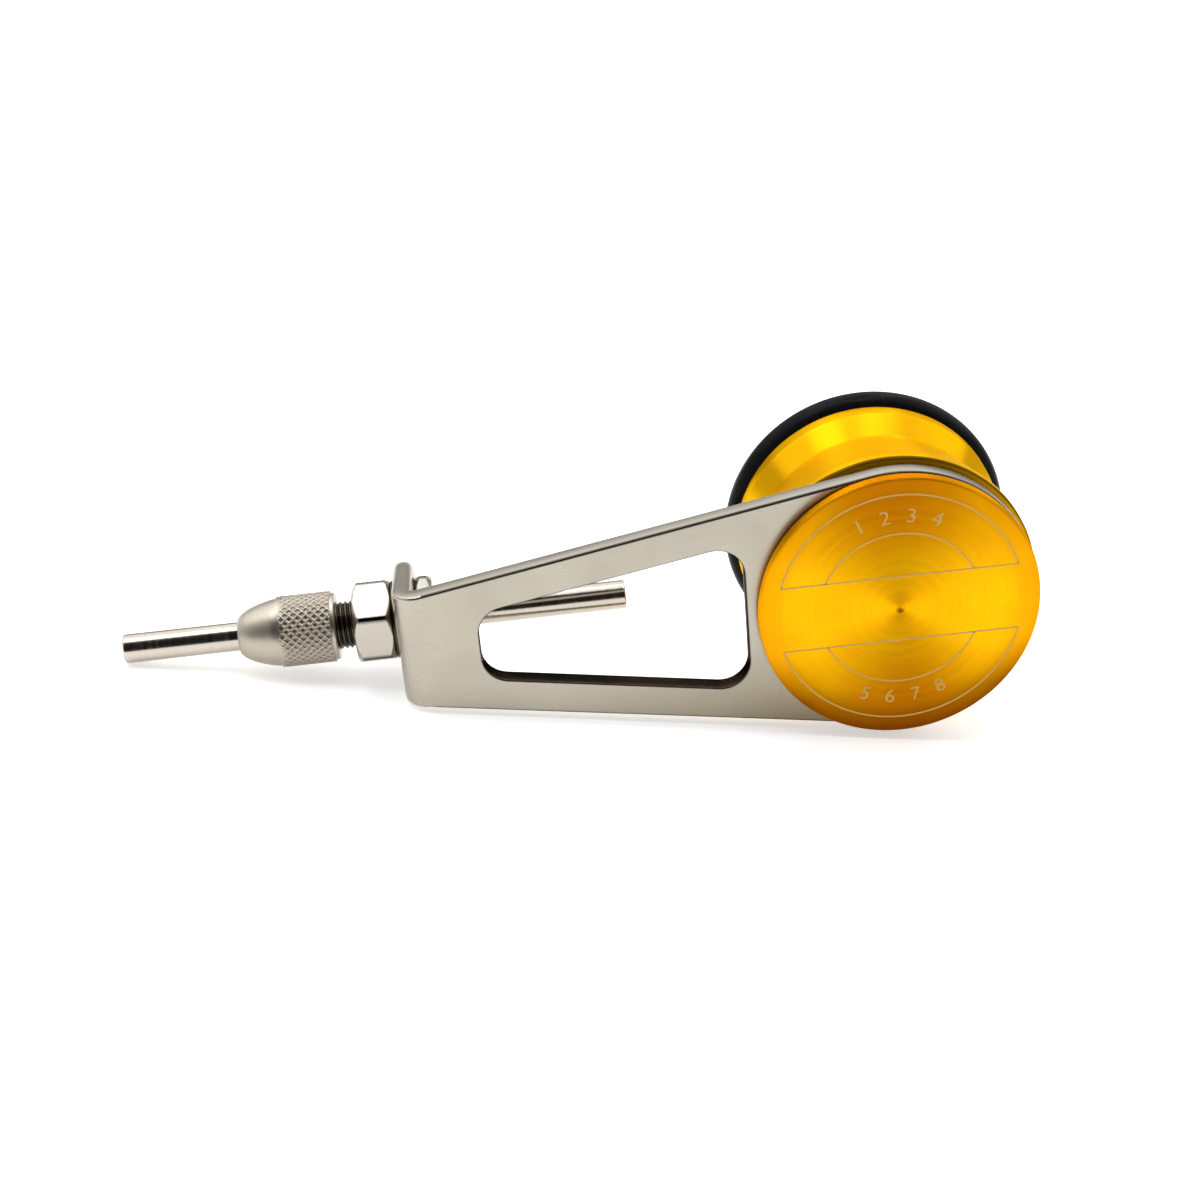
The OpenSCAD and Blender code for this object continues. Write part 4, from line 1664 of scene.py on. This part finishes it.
@dataclass
class InnerWorks:
    """The CAD pieces that keep their own shape and only get a finish.

    Args:
        frame: the maker's frame.
        finishes: each finish, its lathe axis and the nodes that get it.
    """

    frame: MakerFrame
    finishes: tuple[tuple[TurnedMetal | SoftStuff, LatheAxis, tuple[str, ...]], ...] = (
        (PLAIN_STEEL, LatheAxis.SPOOL, ("eye_bush", "axle_bolt", "thrust_washer")),
        (NYLON, LatheAxis.SPOOL, ("knob_washer",)),
        (LEATHER, LatheAxis.SPOOL, ("drag_washer",)),
        (BRONZE, LatheAxis.SPOOL, ("near_bushing", "far_bushing")),
        (SPRING_STEEL, LatheAxis.SPOOL, ("disc_spring_near", "disc_spring_far")),
        (SHADED_WASHER_STEEL, LatheAxis.TUBE, ("outer_washer",)),
        (PLAIN_STEEL, LatheAxis.TUBE, ("collet",)),
    )

    def dress(self, nodes: dict[str, Thing]) -> None:
        """Give each node its finish.

        Args:
            nodes: the CAD nodes by name.
        """
        for finish, axis, names in self.finishes:
            material = finish.make(self.frame.lathe(axis))
            for name in names:
                for slot in nodes[name].material_slots:
                    slot.material = material
                LOG.info("%s: dressed in %s", name, finish.name)


@dataclass(frozen=True)
class Softbox:
    """One soft light.

    Args:
        name: its name.
        place: its middle in the row, in millimetres.
        target: what it faces.
        size: its width and height in millimetres.
        power: its power in watts.
        colour: its colour.
    """

    name: str
    place: Corner
    target: Corner
    size: Point
    power: float
    colour: Colour = WHITE

    def hang(self) -> None:
        """Put the light in the scene."""
        lamp = bpy.data.lights.new(self.name, "AREA")
        lamp.shape = "RECTANGLE"
        lamp.size, lamp.size_y = (side * MM for side in self.size)
        lamp.energy = self.power
        lamp.color = self.colour
        place, target = (Vector(spot) * MM for spot in (self.place, self.target))
        turn = (target - place).to_track_quat("-Z", "Y").to_matrix().to_4x4()
        put_in_scene(self.name, lamp).matrix_world = Matrix.Translation(place) @ turn


@dataclass
class Studio:
    """The floor, the lights and the camera.

    Args:
        frame: the maker's frame.
        azimuth: the camera's turn about the maker's Z, in degrees.
        elevation: the camera's height above the maker's XY plane, in degrees.
        roll: the camera's roll, in degrees.
        distance: from the camera to its target.
        target: what the camera looks at, in the maker's frame.
        focal_px: the focal length in pixels of the photograph.
        air_strength: the strength of the even light from all round.
        dark_zone: the elevations between which the front of the room is dark, in degrees.
        dark_share: how much darker it is there.
        back_dark_to: the elevation up to which the back of the room is dimmed, in degrees.
        back_share: how much darker it is there.
        side_gain: how much brighter the room's left and right are.
        front_span: where the dark front of the room starts and is whole, as cosines of the turn away from it.
        back_span: where the dimmed back starts and is whole, the same way.
        side_span: where the bright sides start and are whole, as sines.
        soft: the width of the dark front's and of the dim back's soft border.
        least_reach: what a direction's level part is held above, so that straight up has a turn too.
        air_colour: the colour of the even light.
        softboxes: the lights.
    """

    frame: MakerFrame
    azimuth: float = -1.63
    elevation: float = 27.15
    roll: float = -5.53
    distance: float = 217.11
    target: Corner = (-29.4, 5.0, 1.24)
    focal_px: float = 2145.34
    air_strength: float = 0.45
    dark_zone: Point = (2.0, 80.0)
    dark_share: float = 0.97
    back_dark_to: float = 34.0
    back_share: float = 0.12
    side_gain: float = 0.8
    front_span: Point = (0.35, 0.75)
    back_span: Point = (-0.2, -0.7)
    side_span: Point = (0.35, 0.75)
    soft: Point = (0.08, 0.1)
    least_reach: float = 0.01
    air_colour: Colour = (1.0, 0.985, 0.96)
    softboxes: tuple[Softbox, ...] = (
        Softbox("overhead_box", (0, 250, 340), (0, 200, 0), (1500, 680), 3.75, (0.97, 0.985, 1.0)),
        Softbox("nut_key", (-130, 15, 300), (-20, 0, 6), (160, 120), 0.15, (0.93, 0.97, 1.0)),
        Softbox("left_strip", (-22, 60, 260), (20, 0, 10), (8, 280), 0.075),
        Softbox("right_strip", (62, 60, 260), (30, 0, 10), (8, 280), 0.075),
    )

    def camera(self) -> None:
        """Stand the camera where the photograph was taken."""
        az, el, roll = (math.radians(a) for a in (self.azimuth, self.elevation, self.roll))
        ahead = Vector((-math.sin(az) * math.cos(el), math.cos(az) * math.cos(el), -math.sin(el)))
        right = Vector((math.cos(az), math.sin(az), 0))
        up = right.cross(ahead)
        rolled_right = right * math.cos(roll) + up * math.sin(roll)
        rolled_up = up * math.cos(roll) - right * math.sin(roll)
        turn = self.frame.to_row.to_3x3().normalized()
        axes = Matrix([turn @ v for v in (rolled_right, rolled_up, -ahead)]).transposed()
        place = self.frame.to_row @ (Vector(self.target) - ahead * self.distance)
        lens = bpy.data.cameras.new("studio_camera")
        lens.sensor_width = SENSOR_MM
        lens.lens = self.focal_px / PHOTO_SIDE_PX * SENSOR_MM
        lens.clip_start = CLIP_START_M
        thing = put_in_scene("studio_camera", lens)
        thing.matrix_world = Matrix.Translation(place) @ axes.to_4x4()
        bpy.context.scene.camera = thing

    def floor(self) -> None:
        """Lay the pale floor."""
        half = FLOOR_HALF_M
        mesh = bpy.data.meshes.new("studio_floor")
        mesh.from_pydata([(-half, -half, 0), (half, -half, 0), (half, half, 0), (-half, half, 0)], [], [(0, 1, 2, 3)])
        mesh.materials.append(FloorPaint().make())
        put_in_scene("studio_floor", mesh)

    def air(self) -> None:
        """Fill the room with an even pale light, dark in front, dimmed low behind and brighter at the sides."""
        world = bpy.data.worlds.new("studio_air")
        world.use_nodes = True
        bench = Bench(world.node_tree)
        background = world.node_tree.nodes["Background"]
        x, y, z = bench.axes(bench.node("ShaderNodeTexCoord").outputs["Generated"])
        reach = bench.math("MAXIMUM", bench.length(x, y), self.least_reach)
        ahead = bench.math("DIVIDE", bench.product(y, -1.0), reach)
        zone = tuple(math.sin(math.radians(a)) for a in self.dark_zone)
        low = math.sin(math.radians(self.back_dark_to))
        front = bench.product(bench.between(ahead, 0.0, 1.0, self.front_span),
                              bench.band(z, zone, self.soft[0]), self.dark_share)
        back = bench.product(bench.between(ahead, 0.0, 1.0, self.back_span),
                             bench.band(z, (-low, low), self.soft[1]), self.back_share)
        sides = bench.between(bench.math("ABSOLUTE", x), 1.0, 1.0 + self.side_gain, self.side_span)
        bright = bench.math("SUBTRACT", 1.0, bench.math("MAXIMUM", front, back))
        bench.plug(background.inputs["Strength"], bench.product(bright, bench.product(sides, self.air_strength)))
        background.inputs["Color"].default_value = (*self.air_colour, 1.0)
        bpy.context.scene.world = world
        bpy.context.scene.view_settings.view_transform = "Standard"

    def build(self) -> None:
        """Set up the floor, the lights and the camera."""
        self.camera()
        self.floor()
        self.air()
        for box in self.softboxes:
            box.hang()


def main() -> None:
    """Load the frame, build and dress every piece, and set up the studio."""
    logging.basicConfig(level=logging.INFO, format="%(name)s: %(message)s")
    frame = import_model()
    maker = MakerFrame.from_joints(frame["joints"])
    for assembly in (SideArm(maker), DragKnob(maker), LineSpool(maker), TubeEnd(maker)):
        for piece in assembly.build():
            piece.mount()
    InnerWorks(maker).dress(frame["nodes"])
    Studio(maker).build()


if __name__ == "__main__":
    main()
